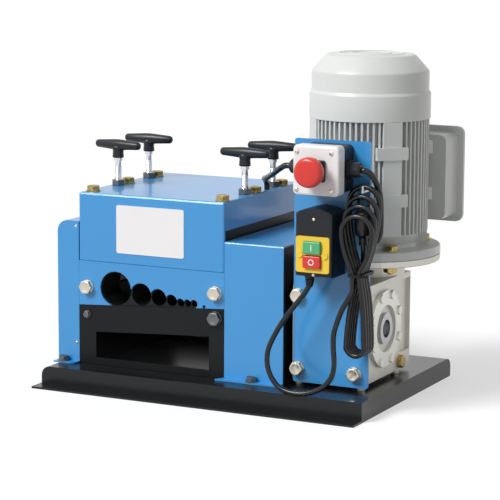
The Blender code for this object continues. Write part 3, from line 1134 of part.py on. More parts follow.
def run_cable(name, radius, straight, start, start_way, route, end, end_way):
    """A cable along a route: it leaves both ends straight, square to what it meets."""
    first, last = Vector(start), Vector(end)
    inner = [first + Vector(start_way) * straight, *[Vector(p) for p in route],
             last + Vector(end_way) * straight]
    placed, length = smooth(inner, CORD_SPACING_SHARE * 2 * radius)
    print(name, "points", len(placed) + 2, "length", round(length + 2 * straight, 4))
    return cable(name, [first, *placed, last], radius, 2, PVC)


run_cable("estop_lead_left", LEAD_R, LEAD_STRAIGHT, left_end, (-1, 0, 0), LEFT_ROUTE, cover_end, (0, 0, 1))
run_cable("estop_lead_right", LEAD_R, LEAD_STRAIGHT, right_end, (1, 0, 0), RIGHT_ROUTE, rear_end, (0, 1, 0))

# the hank: loops side by side from front to back, drawn in at the waist by the tie

ROWS = [HANK_Y + (i - LOOPS / 2) * HANK_STEP for i in range(LOOPS + 1)]


def half_width(drop, run, widest):
    """Half width of a loop at a share of its run away from the waist."""
    return HANK_WAIST + (widest - HANK_WAIST) * math.sin(math.pi / 2 * drop / run)


def hank_points():
    points = []
    runs = 3
    for i in range(LOOPS):
        top = HANK_TOP - (LOOPS - 1 - i) * HANK_NEST - HANK_UPPER
        low = HANK_BOTTOM + HANK_LOWER
        front, back = ROWS[i], ROWS[i + 1]
        for k in range(runs):
            points.append((HANK_X - half_width(k, runs, HANK_UPPER), front,
                           HANK_WAIST_Z + (top - HANK_WAIST_Z) * k / runs))
        points += [(x, front, z) for x, z in arc(HANK_X, top, HANK_UPPER, 180, 0, 6)]
        for k in range(runs - 1, 0, -1):
            points.append((HANK_X + half_width(k, runs, HANK_UPPER), front,
                           HANK_WAIST_Z + (top - HANK_WAIST_Z) * k / runs))
        for k in range(runs):
            points.append((HANK_X + half_width(k, runs, HANK_LOWER), front,
                           HANK_WAIST_Z + (low - HANK_WAIST_Z) * k / runs))
        points += [(x, front, z) for x, z in arc(HANK_X, low, HANK_LOWER, 0, -180, 6)]
        for k, climb in ((2, 0.5), (1, 1.0)):
            points.append((HANK_X - half_width(k, runs, HANK_LOWER), front + (back - front) * climb,
                           HANK_WAIST_Z + (low - HANK_WAIST_Z) * k / runs))
    return points


CORD_D = 2 * CORD_R
PLUG_X, PLUG_Y = HANK_X, HANK_Y + PLUG_BACK
NECK_Z = HANK_WAIST_Z + PLUG_RISE
hank = [(HANK_X - HANK_WAIST, ROWS[0], HANK_WAIST_Z - 2 * CORD_D),
        (HANK_X - HANK_WAIST, ROWS[0], HANK_WAIST_Z - CORD_D)] + hank_points()
hank += [(HANK_X - HANK_WAIST, ROWS[-1], HANK_WAIST_Z),
         (HANK_X - 0.8 * HANK_WAIST, ROWS[-1] - 0.05 * HANK_STEP, HANK_WAIST_Z + 0.4 * PLUG_RISE),
         (PLUG_X - 0.1 * HANK_WAIST, PLUG_Y + 0.2 * HANK_STEP, NECK_Z - 1.35 * CORD_D),
         (PLUG_X, PLUG_Y, NECK_Z - CORD_D), (PLUG_X, PLUG_Y, NECK_Z - GAP)]
cable("cord_hank", hank, CORD_R, 1, PVC)


def least_gap(points, radius, skip):
    """Least distance between two stretches of a tube, less its diameter, measured on close points."""
    fine = []
    for a, b in zip(points, points[1:]):
        fine += [Vector(a).lerp(Vector(b), i / 8) for i in range(8)]
    best = 1.0
    for i, a in enumerate(fine):
        for b in fine[i + 8 * skip:]:
            best = min(best, (a - b).length)
    return best - 2 * radius


print("hank: points", len(hank), "least gap to itself, mm", round(1000 * least_gap(hank, CORD_R, 5), 2))
print("hank: length", round(sum((Vector(b) - Vector(a)).length for a, b in zip(hank, hank[1:])), 3))

hank_start = Vector(hank[0])
run_cable("mains_cord", CORD_R, CORD_D, mains_end, (0, 0, -1), MAINS_ROUTE, hank_start - Vector((0, 0, GAP)),
          (0, 0, -1))

body_low = NECK_Z + PLUG_NECK_L
body_high = body_low + PLUG_BODY_L
plug = new_object("mains_plug", turned(
    [(NECK_Z, PLUG_NECK_R), (body_low, PLUG_NECK_R), (body_low + 0.12 * PLUG_BODY_L, 0.85 * PLUG_BODY_R),
     (body_low + 0.35 * PLUG_BODY_L, PLUG_BODY_R), (body_high - 0.05 * PLUG_BODY_L, PLUG_BODY_R),
     (body_high, 0.94 * PLUG_BODY_R)], (PLUG_X, PLUG_Y, 0), "Z", 16), PVC)
pins = bmesh.new()
for out in (-1, 1):
    turned([(body_high - OVERRUN, PIN_RADIUS), (body_high + 0.85 * PIN_LEN, PIN_RADIUS),
            (body_high + PIN_LEN, 0.5 * PIN_RADIUS)], (PLUG_X + out * PIN_HALF, PLUG_Y, 0), "Z", 8,
           False, pins)
fuse(plug, pins)

tie_in_x = HANK_WAIST + CORD_R + TIE_SLACK
tie_in_y = (LOOPS / 2) * HANK_STEP + CORD_R + TIE_SLACK
tie = new_object("twist_tie", prism(rounded_rect(
    HANK_X, HANK_Y, 2 * (tie_in_x + TIE_SHEET), 2 * (tie_in_y + TIE_SHEET), CORD_R + TIE_SHEET), "Z",
    HANK_WAIST_Z - TIE_H / 2, HANK_WAIST_Z + TIE_H / 2), BLACK_NYLON)
cut(tie, prism(rounded_rect(HANK_X, HANK_Y, 2 * tie_in_x, 2 * tie_in_y, CORD_R), "Z",
               HANK_WAIST_Z - TIE_H / 2 - OVERRUN, HANK_WAIST_Z + TIE_H / 2 + OVERRUN))
fuse(tie, slab((HANK_X + tie_in_x + TIE_SHEET / 2, HANK_Y - tie_in_y, HANK_WAIST_Z - TIE_H / 2),
               (HANK_X + tie_in_x + TIE_TAIL, HANK_Y - tie_in_y + 2 * TIE_SHEET, HANK_WAIST_Z + TIE_H / 2)))

# hook on the post that carries the hank's rearmost loop

hook_z = HANK_TOP - CORD_R - 2 * GAP - HOOK_R
hook_front = ROWS[-2] - CORD_R - GAP - HOOK_R
hook = new_object("cord_hook", rod(HOOK_R, (HANK_X, 0, hook_z), "Y", hook_front, POST_FRONT - GAP, 12), STEEL)
fuse(hook, rod(HOOK_R, (HANK_X, hook_front, 0), "Z", hook_z - HOOK_R / 4, hook_z + HOOK_TIP, 12))
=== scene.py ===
# %% [markdown]
# # Bench wire stripping machine
# This lesson dresses a machine whose pieces already have their true size and place. A gear motor stands on
# a control post, and drives knurled rollers inside a blue sheet metal head. We load those solids as a fixed
# frame. Then we add the camera, the light, the finish of each surface, and the small pieces that sit on the
# solids: bolts, nuts, screws, cable sheaths and marks.
# %% Load the frame
import math

import bmesh
import bpy
from mathutils import Matrix, Vector


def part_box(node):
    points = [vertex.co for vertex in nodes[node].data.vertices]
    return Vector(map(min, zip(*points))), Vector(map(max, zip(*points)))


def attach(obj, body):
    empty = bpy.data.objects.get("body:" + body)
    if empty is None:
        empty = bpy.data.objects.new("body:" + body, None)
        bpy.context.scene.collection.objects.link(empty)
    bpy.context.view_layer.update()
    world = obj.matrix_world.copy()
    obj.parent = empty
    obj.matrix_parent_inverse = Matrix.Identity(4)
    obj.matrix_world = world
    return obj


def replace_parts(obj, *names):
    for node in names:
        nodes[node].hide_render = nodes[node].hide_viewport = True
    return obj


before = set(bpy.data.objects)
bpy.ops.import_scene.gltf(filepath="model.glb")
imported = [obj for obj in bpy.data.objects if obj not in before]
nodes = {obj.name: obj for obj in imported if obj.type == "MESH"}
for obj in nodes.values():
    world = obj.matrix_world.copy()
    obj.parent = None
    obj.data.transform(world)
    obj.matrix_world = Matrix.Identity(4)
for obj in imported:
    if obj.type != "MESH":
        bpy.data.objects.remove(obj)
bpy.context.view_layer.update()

# %% [markdown]
# ## One corner to measure from
# A fitter would measure from a corner of the base. We do the same: all lengths below run from the front
# right corner of the tray's wall, X to the right, Y to the back and Z up from the bench. The solids know
# where that corner is, so we ask them and never type it in.
# %% The base's corner
LIP = 0.027
tray_low, tray_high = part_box("base_tray")
CORNER = Vector((tray_high.x, tray_low.y + LIP, 0))


def at(x, y, z):
    """A point measured from the base's corner, in the frame's own metres."""
    return CORNER + Vector((x, y, z))


print("corner at", [round(v, 4) for v in CORNER])

# %% [markdown]
# ## Camera
# The photograph was taken with a long lens from the right of the front, a little above the head. The lens
# and the place below were worked out from the machine's own straight edges. A long lens far away keeps
# those edges almost parallel, as in the picture.
# %% Camera
TURN, TILT, ROLL = math.radians(26.35), math.radians(9.37), math.radians(0.30)
right = Vector((math.cos(TURN), math.sin(TURN), 0))
up = Vector((-math.sin(TURN) * math.sin(TILT), math.cos(TURN) * math.sin(TILT), math.cos(TILT)))
back = Vector((math.sin(TURN) * math.cos(TILT), -math.cos(TURN) * math.cos(TILT), math.sin(TILT)))
rolled_right = right * math.cos(ROLL) + up * math.sin(ROLL)
rolled_up = up * math.cos(ROLL) - right * math.sin(ROLL)
lens_data = bpy.data.cameras.new("camera")
lens_data.lens, lens_data.sensor_width = 154.0, 36.0
lens_data.clip_end = 100
camera = bpy.data.objects.new("camera", lens_data)
bpy.context.scene.collection.objects.link(camera)
spot = at(1.07657, -2.50476, 0.67834)
camera.matrix_world = Matrix.Translation(spot) @ Matrix((rolled_right, rolled_up,
                                                         back)).transposed().to_4x4()
bpy.context.scene.camera = camera
print("camera", round((spot - at(-0.2, 0.15, 0.2)).length, 2), "m from the machine's middle")

# %% [markdown]
# ## Colours and one helper for nodes
# Colours are written as sRGB hex values, as a paint chart or an image editor shows them. Blender's shaders
# need linear light, so one function turns them. A second one adds a shader node, sets its values and makes
# its links in one call, which keeps each material short enough to read.
# %% Colours and nodes
def linear(hex_code):
    """An sRGB hex colour as linear red, green, blue and alpha."""
    parts = [int(hex_code[i:i + 2], 16) / 255 for i in (1, 3, 5)]
    return (*[p / 12.92 if p <= 0.04045 else ((p + 0.055) / 1.055) ** 2.4 for p in parts], 1.0)


def add(material, kind, settings=None, links=None, **options):
    """Adds one shader node: settings by input name, links as input name to output socket."""
    node = material.node_tree.nodes.new(kind)
    for key, value in options.items():
        setattr(node, key, value)
    for key, value in (settings or {}).items():
        node.inputs[key].default_value = value
    for key, socket in (links or {}).items():
        material.node_tree.links.new(socket, node.inputs[key])
    return node


def per_metre(size_mm):
    """Scale of a texture whose features are this many millimetres apart."""
    return 1000 / size_mm


print("cover blue in linear light:", [round(v, 3) for v in linear("#3C90CC")])

# %% [markdown]
# ## The recipe that every finish starts from
# Real surfaces are never one flat colour. Even fresh paint varies a little in tone over a hand's width, and
# its gloss changes with the dust on it. So each finish gets three layers: a slow change of tone, a grain
# that gives the roughness some life, and a fine bump for the way the surface was made. Each has a real size
# in millimetres. What makes a finish special is added to it afterwards.
# %% Recipe
def finish(name, base, rough, grain_mm, bump_mm, tone=0.06, tone_mm=60, rough_spread=0.06, metallic=0.0,
           ior=1.5,
           mirror=0.5):
    """A Principled material with slow tone changes, uneven gloss and a fine bump; gives back its nodes."""
    material = bpy.data.materials.new(name)
    material.use_nodes = True
    shader = material.node_tree.nodes["Principled BSDF"]
    shader.inputs["Metallic"].default_value = metallic
    if metallic < 0.5:
        shader.inputs["IOR"].default_value = ior
        shader.inputs["Specular IOR Level"].default_value = mirror
    where = add(material, "ShaderNodeTexCoord").outputs["Object"]
    slow = add(material, "ShaderNodeTexNoise", {"Scale": per_metre(tone_mm), "Detail": 4.0},
               {"Vector": where})
    colour = linear(base)
    low = tuple(c * (1 - tone) for c in colour[:3]) + (1.0,)
    high = tuple(min(1.0, c * (1 + tone)) for c in colour[:3]) + (1.0,)
    tint = add(material, "ShaderNodeMix", {"A": low, "B": high}, {"Factor": slow.outputs["Fac"]},
               data_type="RGBA")
    grain = add(material, "ShaderNodeTexNoise", {"Scale": per_metre(grain_mm), "Detail": 3.0},
                {"Vector": where})
    gloss = add(material, "ShaderNodeMapRange",
                {"To Min": rough - rough_spread, "To Max": rough + rough_spread},
                {"Value": slow.outputs["Fac"]})
    bump = add(material, "ShaderNodeBump", {"Strength": 0.6, "Distance": bump_mm / 1000},
               {"Height": grain.outputs["Fac"]})
    link = material.node_tree.links.new
    link(tint.outputs["Result"], shader.inputs["Base Color"])
    link(gloss.outputs["Result"], shader.inputs["Roughness"])
    link(bump.outputs["Normal"], shader.inputs["Normal"])
    return material, shader, where, tint, bump


print("finish() ready")

# %% [markdown]
# ## Blue enamel
# The sheet metal is sprayed with a gloss enamel and baked. Two things tell the eye that it is paint: a
# clear mirror-like coat over an even colour, and the faint waviness called orange peel, with waves about
# three millimetres long. A clear coat over the coloured layer gives the first, a shallow bump the second.
# %% Blue enamel
BLUE, shader = finish("baked blue enamel", "#3A93D3", 0.30, 3.0, 0.03, tone=0.04, tone_mm=140)[:2]
shader.inputs["Coat Weight"].default_value = 0.35
shader.inputs["Coat Roughness"].default_value = 0.08
print(BLUE.name)

# %% [markdown]
# ## Black powder coat
# The base tray, the plates under the feed holes and the side plates are powder coated: a dry powder is
# baked until it melts to a tough skin. It is black, half glossy, and has a fine pebbled texture of about
# half a millimetre, drawn here at 0.8 mm so that it shows.
# %% Black powder coat
POWDER = finish("black powder coat", "#101215", 0.38, 0.8, 0.05, tone=0.15, tone_mm=70, mirror=0.2)[0]
GLOSS_BLACK, shader = finish("glossy black powder coat", "#101215", 0.26, 1.6, 0.03, tone=0.18, tone_mm=110,
                             mirror=0.3)[:2]
shader.inputs["Coat Weight"].default_value = 0.1
shader.inputs["Coat Roughness"].default_value = 0.12
print(POWDER.name, "and", GLOSS_BLACK.name)

# %% [markdown]
# ## Turned steel
# Rollers, gears, blades and shafts are turned on a lathe and ground. The tool leaves rings across the axis
# that are too fine to see here, so a stretched noise draws them every 0.6 mm: tight along the shaft's X
# axis and long around it.
# %% Turned steel
STEEL, _, where, _, bump = finish("turned and ground steel", "#B4B6B9", 0.30, 0.6, 0.01, metallic=1.0)
stretch = add(STEEL, "ShaderNodeMapping", {"Scale": (per_metre(0.6), per_metre(40), per_metre(40))},
              {"Vector": where})
rings = add(STEEL, "ShaderNodeTexNoise", {"Scale": 1.0, "Detail": 2.0},
            {"Vector": stretch.outputs["Vector"]})
STEEL.node_tree.links.new(rings.outputs["Fac"], bump.inputs["Height"])
print(STEEL.name)

# %% [markdown]
# ## Die cast aluminium
# The worm gearbox and its flange are die cast and then shot blasted. That leaves a dull silver skin with a
# grain of about half a millimetre, drawn at 1.2 mm, that scatters light evenly. Polished places, such as
# the machined face of the ring cover, get their own smoother version.
# %% Die cast aluminium
CAST = finish("shot blasted aluminium", "#CDCBC4", 0.52, 1.2, 0.08, tone=0.10, tone_mm=30, metallic=0.85)[0]
BRIGHT_CAST = finish("machined aluminium", "#D8D7D2", 0.36, 0.9, 0.03, tone=0.06, tone_mm=18,
                     metallic=0.9)[0]
print(CAST.name, "and", BRIGHT_CAST.name)

# %% [markdown]
# ## Grey motor enamel
# The motor's castings and its pressed cowl are painted light grey with a semi-gloss air-drying enamel. It
# hides the casting's skin but keeps some of its pebble, about 1.5 mm across, and it collects a little dust
# between the fins, which the slow change of tone stands for.
# %% Grey enamel
GREY, shader = finish("light grey enamel", "#D3D5D2", 0.38, 1.5, 0.04, tone=0.04, tone_mm=50)[:2]
shader.inputs["Coat Weight"].default_value = 0.25
shader.inputs["Coat Roughness"].default_value = 0.2
print(GREY.name)

# %% [markdown]
# ## Plated fasteners
# The bolts on top are zinc plated and then passivated yellow, a thin film whose thickness decides its
# colour, so it drifts between straw, pink and green. The front bolts are clear zinc, a pale warm silver.
# The pressure screws have bright chrome. All three are metals, so their colour is that of the reflection.
# %% Plating
YELLOW_ZINC, shader, where = finish("yellow passivated zinc", "#B8A05C", 0.30, 0.5, 0.01, metallic=1.0)[:3]
film = add(YELLOW_ZINC, "ShaderNodeTexNoise", {"Scale": per_metre(4), "Detail": 1.0}, {"Vector": where})
drift = add(YELLOW_ZINC, "ShaderNodeValToRGB", None, {"Fac": film.outputs["Fac"]})
drift.color_ramp.elements[0].position, drift.color_ramp.elements[0].color = 0.35, linear("#8E8A55")
drift.color_ramp.elements[1].position, drift.color_ramp.elements[1].color = 0.65, linear("#C9A76A")
YELLOW_ZINC.node_tree.links.new(drift.outputs["Color"], shader.inputs["Base Color"])
CLEAR_ZINC = finish("clear zinc plating", "#CFC8BA", 0.28, 0.5, 0.01, tone=0.1, tone_mm=5, metallic=1.0)[0]
CHROME = finish("bright chrome plating", "#DADBDD", 0.10, 0.5, 0.004, rough_spread=0.03, metallic=1.0)[0]
print(YELLOW_ZINC.name, CLEAR_ZINC.name, CHROME.name, sep=", ")

# %% [markdown]
# ## Moulded plastics
# Handles are black phenolic, hard and half glossy. The stop's lid is white ABS, and its body and the switch
# box are dark ABS with a spark-eroded texture of about 0.4 mm, drawn at 0.7 mm. The buttons are smooth
# coloured ABS. A plastic's colour goes all the way through, so unlike the enamel it gets no clear coat.
# %% Plastics
PHENOLIC = finish("black phenolic", "#1B1D22", 0.33, 0.9, 0.02, tone=0.1, mirror=0.35)[0]
WHITE_ABS = finish("white ABS", "#EDEBEC", 0.30, 0.8, 0.01, tone=0.02)[0]
DARK_ABS = finish("textured dark ABS", "#191C22", 0.40, 0.7, 0.05, tone=0.12, mirror=0.3)[0]
RED_ABS = finish("red ABS", "#D8352C", 0.26, 0.8, 0.008, tone=0.03)[0]
GREEN_ABS = finish("green ABS", "#4FAE74", 0.30, 0.8, 0.01, tone=0.03)[0]
YELLOW_ABS = finish("yellow ABS", "#EDC93B", 0.32, 0.8, 0.01, tone=0.03)[0]
NYLON = finish("black nylon", "#0C0D0F", 0.42, 0.8, 0.02, tone=0.1, mirror=0.25)[0]
print("seven plastics")

# %% [markdown]
# ## PVC sheath
# The leads have a soft black PVC jacket. It is smooth, slightly greasy and half glossy, so each cable shows
# a long thin highlight. That line is what makes the eye follow the loops.
# %% PVC
PVC = finish("black PVC sheath", "#101114", 0.28, 2.0, 0.015, tone=0.1, tone_mm=30, mirror=0.4)[0]
print(PVC.name)

# %% [markdown]
# ## Finishes for the solids
# Each solid keeps its shape and gets its finish by name. On the sheet metal, the gearbox housing, the boxes
# and the buttons a bevel modifier rounds the sharp edges by a few tenths of a millimetre, as a press brake,
# a file or a mould does. Without it no edge would catch the light, and the machine would look cut from
# paper.
# %% Dress the solids
DRESS = {
    BLUE: (0.6, "head_cover front_panel gear_cover coupling_box control_post"),
    POWDER: (0.5, "side_plate_left side_plate_right lower_front_plate lower_rear_plate "
                  "coupling_side_plate"),
    GLOSS_BLACK: (0.7, "base_tray"),
    STEEL: (0.2, "tie_bar_low tie_bar_rear tie_bar_front drive_roller output_hub idler_gear rear_roller "
                 "blade_shaft upper_roller cord_hook"),
    CAST: (0.8, "gearbox_housing gearbox_input_flange block_front_left block_front_right block_rear_left "
                "block_rear_right"),
    BRIGHT_CAST: (0.3, "gearbox_ring_cover"),
    GREY: (0.5, "motor_end_shield motor_body terminal_box terminal_lid"),
    YELLOW_ZINC: (0.3, "oil_plug"),
    CHROME: (0.2, "t_screw_a t_screw_b t_screw_c t_screw_d"),
    PHENOLIC: (0.3, "t_handle_a t_handle_b t_handle_c t_handle_d estop_bezel"),
    WHITE_ABS: (0.8, "estop_lid"),
    DARK_ABS: (0.8, "estop_body switch_box"),
    RED_ABS: (0.4, "stop_button"),
    GREEN_ABS: (0.4, "start_button"),
    YELLOW_ABS: (0.4, "switch_plate"),
    PVC: (0.3, "mains_plug"),
    NYLON: (0.2, "feed_guide motor_rotor estop_stem twist_tie"),
}
ROUNDED = ("head_cover front_panel gear_cover coupling_box control_post side_plate_left side_plate_right "
           "lower_front_plate base_tray gearbox_housing terminal_box terminal_lid estop_lid estop_body "
           "switch_box switch_plate start_button stop_button").split()
for material, (width, names) in DRESS.items():
    for name in names.split():
        solid = nodes[name]
        solid.data.materials.clear()
        solid.data.materials.append(material)
        if name in ROUNDED:
            bevel = solid.modifiers.new("edge", "BEVEL")
            bevel.width, bevel.segments, bevel.limit_method = width / 1000, 2, "ANGLE"
            bevel.angle_limit = math.radians(40)
            bevel.use_clamp_overlap = True
            bevel.harden_normals = True
print(sum(len(names.split()) for _, names in DRESS.values()), "solids dressed")

# %% [markdown]
# ## Making pieces
# The solids stop where small things begin: bolts, nuts, screws, marks. Most of those are turned, so one
# helper spins a profile around an axis, the way a lathe does. Mesh code is used and not primitives, because
# a profile can hold the chamfers, dishes and fillets that catch the light. Another helper hangs each piece
# on the body that it moves with.
# %% Piece helpers
def piece_of(name, mesh_data, material, body="frame", sharp=35):
    """Turns bmesh data into an object that rides on a body of the machine."""
    mesh = bpy.data.meshes.new(name)
    bmesh.ops.recalc_face_normals(mesh_data, faces=mesh_data.faces)
    mesh_data.to_mesh(mesh)
    mesh_data.free()
    mesh.materials.append(material)
    mesh.shade_smooth()
    mesh.set_sharp_from_angle(angle=math.radians(sharp))
    piece = bpy.data.objects.new(name, mesh)
    bpy.context.scene.collection.objects.link(piece)
    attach(piece, body)
    return piece


def spin(mesh_data, place, axis, profile, count=48, loop=False):
    """Spins (height, radius) steps round an axis; a radius may also be a function of the angle."""
    turn = Vector((0, 0, 1)).rotation_difference(Vector(axis)).to_matrix()
    rings = []
    for height, radius in profile:
        ring = []
        for i in range(count):
            a = 2 * math.pi * i / count
            r = radius(a) if callable(radius) else radius
            h = height(a) if callable(height) else height
            ring.append(mesh_data.verts.new(Vector(place) + turn @ Vector((r * math.cos(a), r * math.sin(a),
                                                                           h))))
        rings.append(ring)
    pairs = list(zip(rings, rings[1:])) + ([(rings[-1], rings[0])] if loop else [])
    for low, high in pairs:
        for i in range(count):
            j = (i + 1) % count
            mesh_data.faces.new((low[i], low[j], high[j], high[i]))
    if not loop:
        mesh_data.faces.new(rings[0][::-1])
        mesh_data.faces.new(rings[-1])
    return mesh_data


def carve(piece, cutter_data):
    """Cuts one mesh out of a piece and keeps the result."""
    mesh = bpy.data.meshes.new("cutter")
    cutter_data.to_mesh(mesh)
    cutter_data.free()
    cutter = bpy.data.objects.new("cutter", mesh)
    bpy.context.scene.collection.objects.link(cutter)
    step = piece.modifiers.new("cut", "BOOLEAN")
    step.operation, step.object, step.solver = "DIFFERENCE", cutter, "EXACT"
    step.use_self = True
    shape = piece.evaluated_get(bpy.context.evaluated_depsgraph_get())
    piece.data = bpy.data.meshes.new_from_object(shape)
    piece.modifiers.clear()
    bpy.data.objects.remove(cutter)
    piece.data.shade_smooth()
    piece.data.set_sharp_from_angle(angle=math.radians(35))
    print(piece.name, "carved,", len(piece.data.polygons), "faces")


print("helpers for turned pieces ready")

# %% [markdown]
# ## Hexagon bolts and nuts
# A hexagon head is a prism whose top corners a chamfering tool has turned away. That leaves six curved
# arches on the flats, and they are what makes a bolt look like one. We get them by letting the height at
# which the flat ends depend on the angle: the further a corner stands out, the lower it is cut.
# %% Bolts and nuts
def hexagon(across):
    """Distance from the axis to a hexagon's side at an angle."""
    return lambda a: across / 2 / math.cos((a % (math.pi / 3)) - math.pi / 6)


def washer(mesh_data, place, axis, radius, bore, thick=0.0016):
    edge = thick / 5
    spin(mesh_data, place, axis, [(0, bore), (0, radius - edge), (edge, radius), (thick - edge, radius),
                                  (thick, radius - edge), (thick, bore)], 40, True)


def bolt(mesh_data, place, axis, across, head, washer_r):
    """A bolt head on its washer: place is on the seat, axis points away from it."""
    thick = 0.0016
    washer(mesh_data, place, axis, washer_r, across / 4, thick)
    side, crown = hexagon(across), 0.475 * across
    top = thick + head
    spin(mesh_data, place, axis, [(thick, side),
                                  (lambda a: top - (side(a) - crown) * math.tan(math.pi / 6), side),
                                  (top, crown), (top, 0.80 * crown), (top - 0.0004, 0.72 * crown)], 48)


def nut(mesh_data, place, axis, across, tall, bore):
    """A nut round a screw: both faces are chamfered and the bore is open."""
    side, crown = hexagon(across), 0.475 * across
    slope = math.tan(math.pi / 6)
    spin(mesh_data, place, axis, [(0, crown), (lambda a: (side(a) - crown) * slope, side),
                                  (lambda a: tall - (side(a) - crown) * slope, side), (tall, crown),
                                  (tall, bore + 0.0008), (tall - 0.0008, bore), (0, bore)], 48, True)


TOP, FRONT, DECK, POST_FACE, FLANGE_LOW, FLANGE_TOP = 0.271, 0.0425, 0.0295, 0.0555, 0.186, 0.207
M10_ACROSS, M10_HEAD, M10_WASHER = 0.017, 0.0064, 0.0100
M8_ACROSS, M8_HEAD, M8_WASHER = 0.013, 0.0053, 0.0080
top_bolts = bmesh.new()
for x in (-0.438, -0.2345):
    for y in (0.058, 0.157, 0.243):
        bolt(top_bolts, at(x, y, TOP), (0, 0, 1), M10_ACROSS, M10_HEAD, M10_WASHER)
piece_of("cover_bolts", top_bolts, YELLOW_ZINC)
front_bolts = bmesh.new()
for x, z in ((-0.4396, 0.1373), (-0.2374, 0.1452)):
    bolt(front_bolts, at(x, FRONT, z), (0, -1, 0), M10_ACROSS, M10_HEAD, M10_WASHER)
for x in (-0.1191, -0.0353):
    for z in (0.051, 0.151):
        bolt(front_bolts, at(x, POST_FACE, z), (0, -1, 0), M10_ACROSS, M10_HEAD, M10_WASHER)
piece_of("front_bolts", front_bolts, CLEAR_ZINC)
dark_bolts = bmesh.new()
bolt(dark_bolts, at(-0.2374, FRONT, 0.1103), (0, -1, 0), M10_ACROSS, M10_HEAD, M10_WASHER)
bolt(dark_bolts, at(-0.4396, FRONT, 0.0983), (0, -1, 0), 0.008, 0.0035, 0.0055)
for x in (-0.4753, -0.17935):
    bolt(dark_bolts, at(x, 0.0355, DECK), (0, 0, 1), M8_ACROSS, M8_HEAD, M8_WASHER)
OXIDE = finish("blued steel", "#6C6E70", 0.34, 0.5, 0.01, tone=0.12, tone_mm=6, metallic=1.0)[0]
piece_of("plate_and_foot_bolts", dark_bolts, OXIDE)
lock_nuts = bmesh.new()
HANDLES = {"a": (-0.4396, 0.1308, -8.0), "b": (-0.4396, 0.2208, 0.0), "c": (-0.2374, 0.1308, -4.0),
           "d": (-0.2374, 0.2208, 3.0)}
for x, y, turn in HANDLES.values():
    nut(lock_nuts, at(x, y, TOP), (0, 0, 1), M10_ACROSS, 0.0080, 0.0053)
piece_of("lock_nuts", lock_nuts, OXIDE)
flange_set = bmesh.new()
for x in (-0.01886, -0.13554):
    for y in (0.13546, 0.25214):
        bolt(flange_set, at(x, y, FLANGE_TOP), (0, 0, 1), M10_ACROSS, M10_HEAD, 0.0098)
        nut(flange_set, at(x, y, FLANGE_LOW), (0, 0, -1), M10_ACROSS, 0.0080, 0.0040)
        spin(flange_set, at(x, y, 0), (0, 0, 1), [(0.1755, 0.0036), (0.1765, 0.0044), (FLANGE_LOW, 0.0044)],
             24)
piece_of("flange_bolts", flange_set, YELLOW_ZINC)
print("bolts: 6 on top, 8 in front, 2 on the feet, 4 through the flange; 4 lock nuts")

# %% [markdown]
# ## T handles and pressure screws
# Each handle is one phenolic moulding: a bar that swells towards its middle, and a bell-shaped hub with a
# small metal collar under it. The screw below carries a 1.5 mm thread. A real thread is a helix, but at
# this size stacked V grooves look the same and spin cleanly, so the profile simply zigzags.
# %% Handles and screws
BAR_Z, HALF_BAR = 0.329, 0.039
for letter, (x, y, turn) in HANDLES.items():
    handle = bmesh.new()
    a = math.radians(turn)
    along = (math.cos(a), math.sin(a), 0)
    bar = [(-HALF_BAR, 0.0012), (-HALF_BAR + 0.0004, 0.0030), (-HALF_BAR + 0.0018, 0.0047),
           (-0.0352, 0.0056),
           (-0.020, 0.0066), (-0.008, 0.0075), (0, 0.0078), (0.008, 0.0075), (0.020, 0.0066),
           (0.0352, 0.0056),
           (HALF_BAR - 0.0018, 0.0047), (HALF_BAR - 0.0004, 0.0030), (HALF_BAR, 0.0012)]
    spin(handle, at(x, y, BAR_Z), along, bar, 40)
    hub = [(-0.0185, 0.0050), (-0.0185, 0.0077), (-0.0178, 0.0083), (-0.0150, 0.0082), (-0.0105, 0.0078),
           (-0.0075, 0.0081), (-0.0045, 0.0090), (-0.0020, 0.0075), (0.003, 0.0040)]
    spin(handle, at(x, y, BAR_Z), (0, 0, 1), hub, 40)
    bmesh.ops.scale(handle, vec=(1, 0.94, 1), verts=handle.verts,
                    space=Matrix.Translation(-at(x, y, BAR_Z)))
    shape = piece_of(f"handle_moulding_{letter}", handle, PHENOLIC, f"handle_{letter}", 50)
    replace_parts(shape, f"t_handle_{letter}")
    screw = bmesh.new()
    low, high, pitch = 0.1657, 0.3103, 0.0015
    profile = [(low, 0.0040)]
    steps = int((high - 0.012 - low) / pitch)
    for i in range(steps):
        profile += [(low + 0.0004 + pitch * i, 0.00495), (low + 0.0004 + pitch * (i + 0.5), 0.0045)]
    profile += [(high - 0.011, 0.0046), (high - 0.0042, 0.0046), (high - 0.0042, 0.0062), (high, 0.0062)]
    spin(screw, at(x, y, 0), (0, 0, 1), profile, 28)
    rod = piece_of(f"threaded_screw_{letter}", screw, CHROME, f"handle_{letter}", 20)
    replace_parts(rod, f"t_screw_{letter}")
print("4 handles,", steps, "thread turns on each screw")

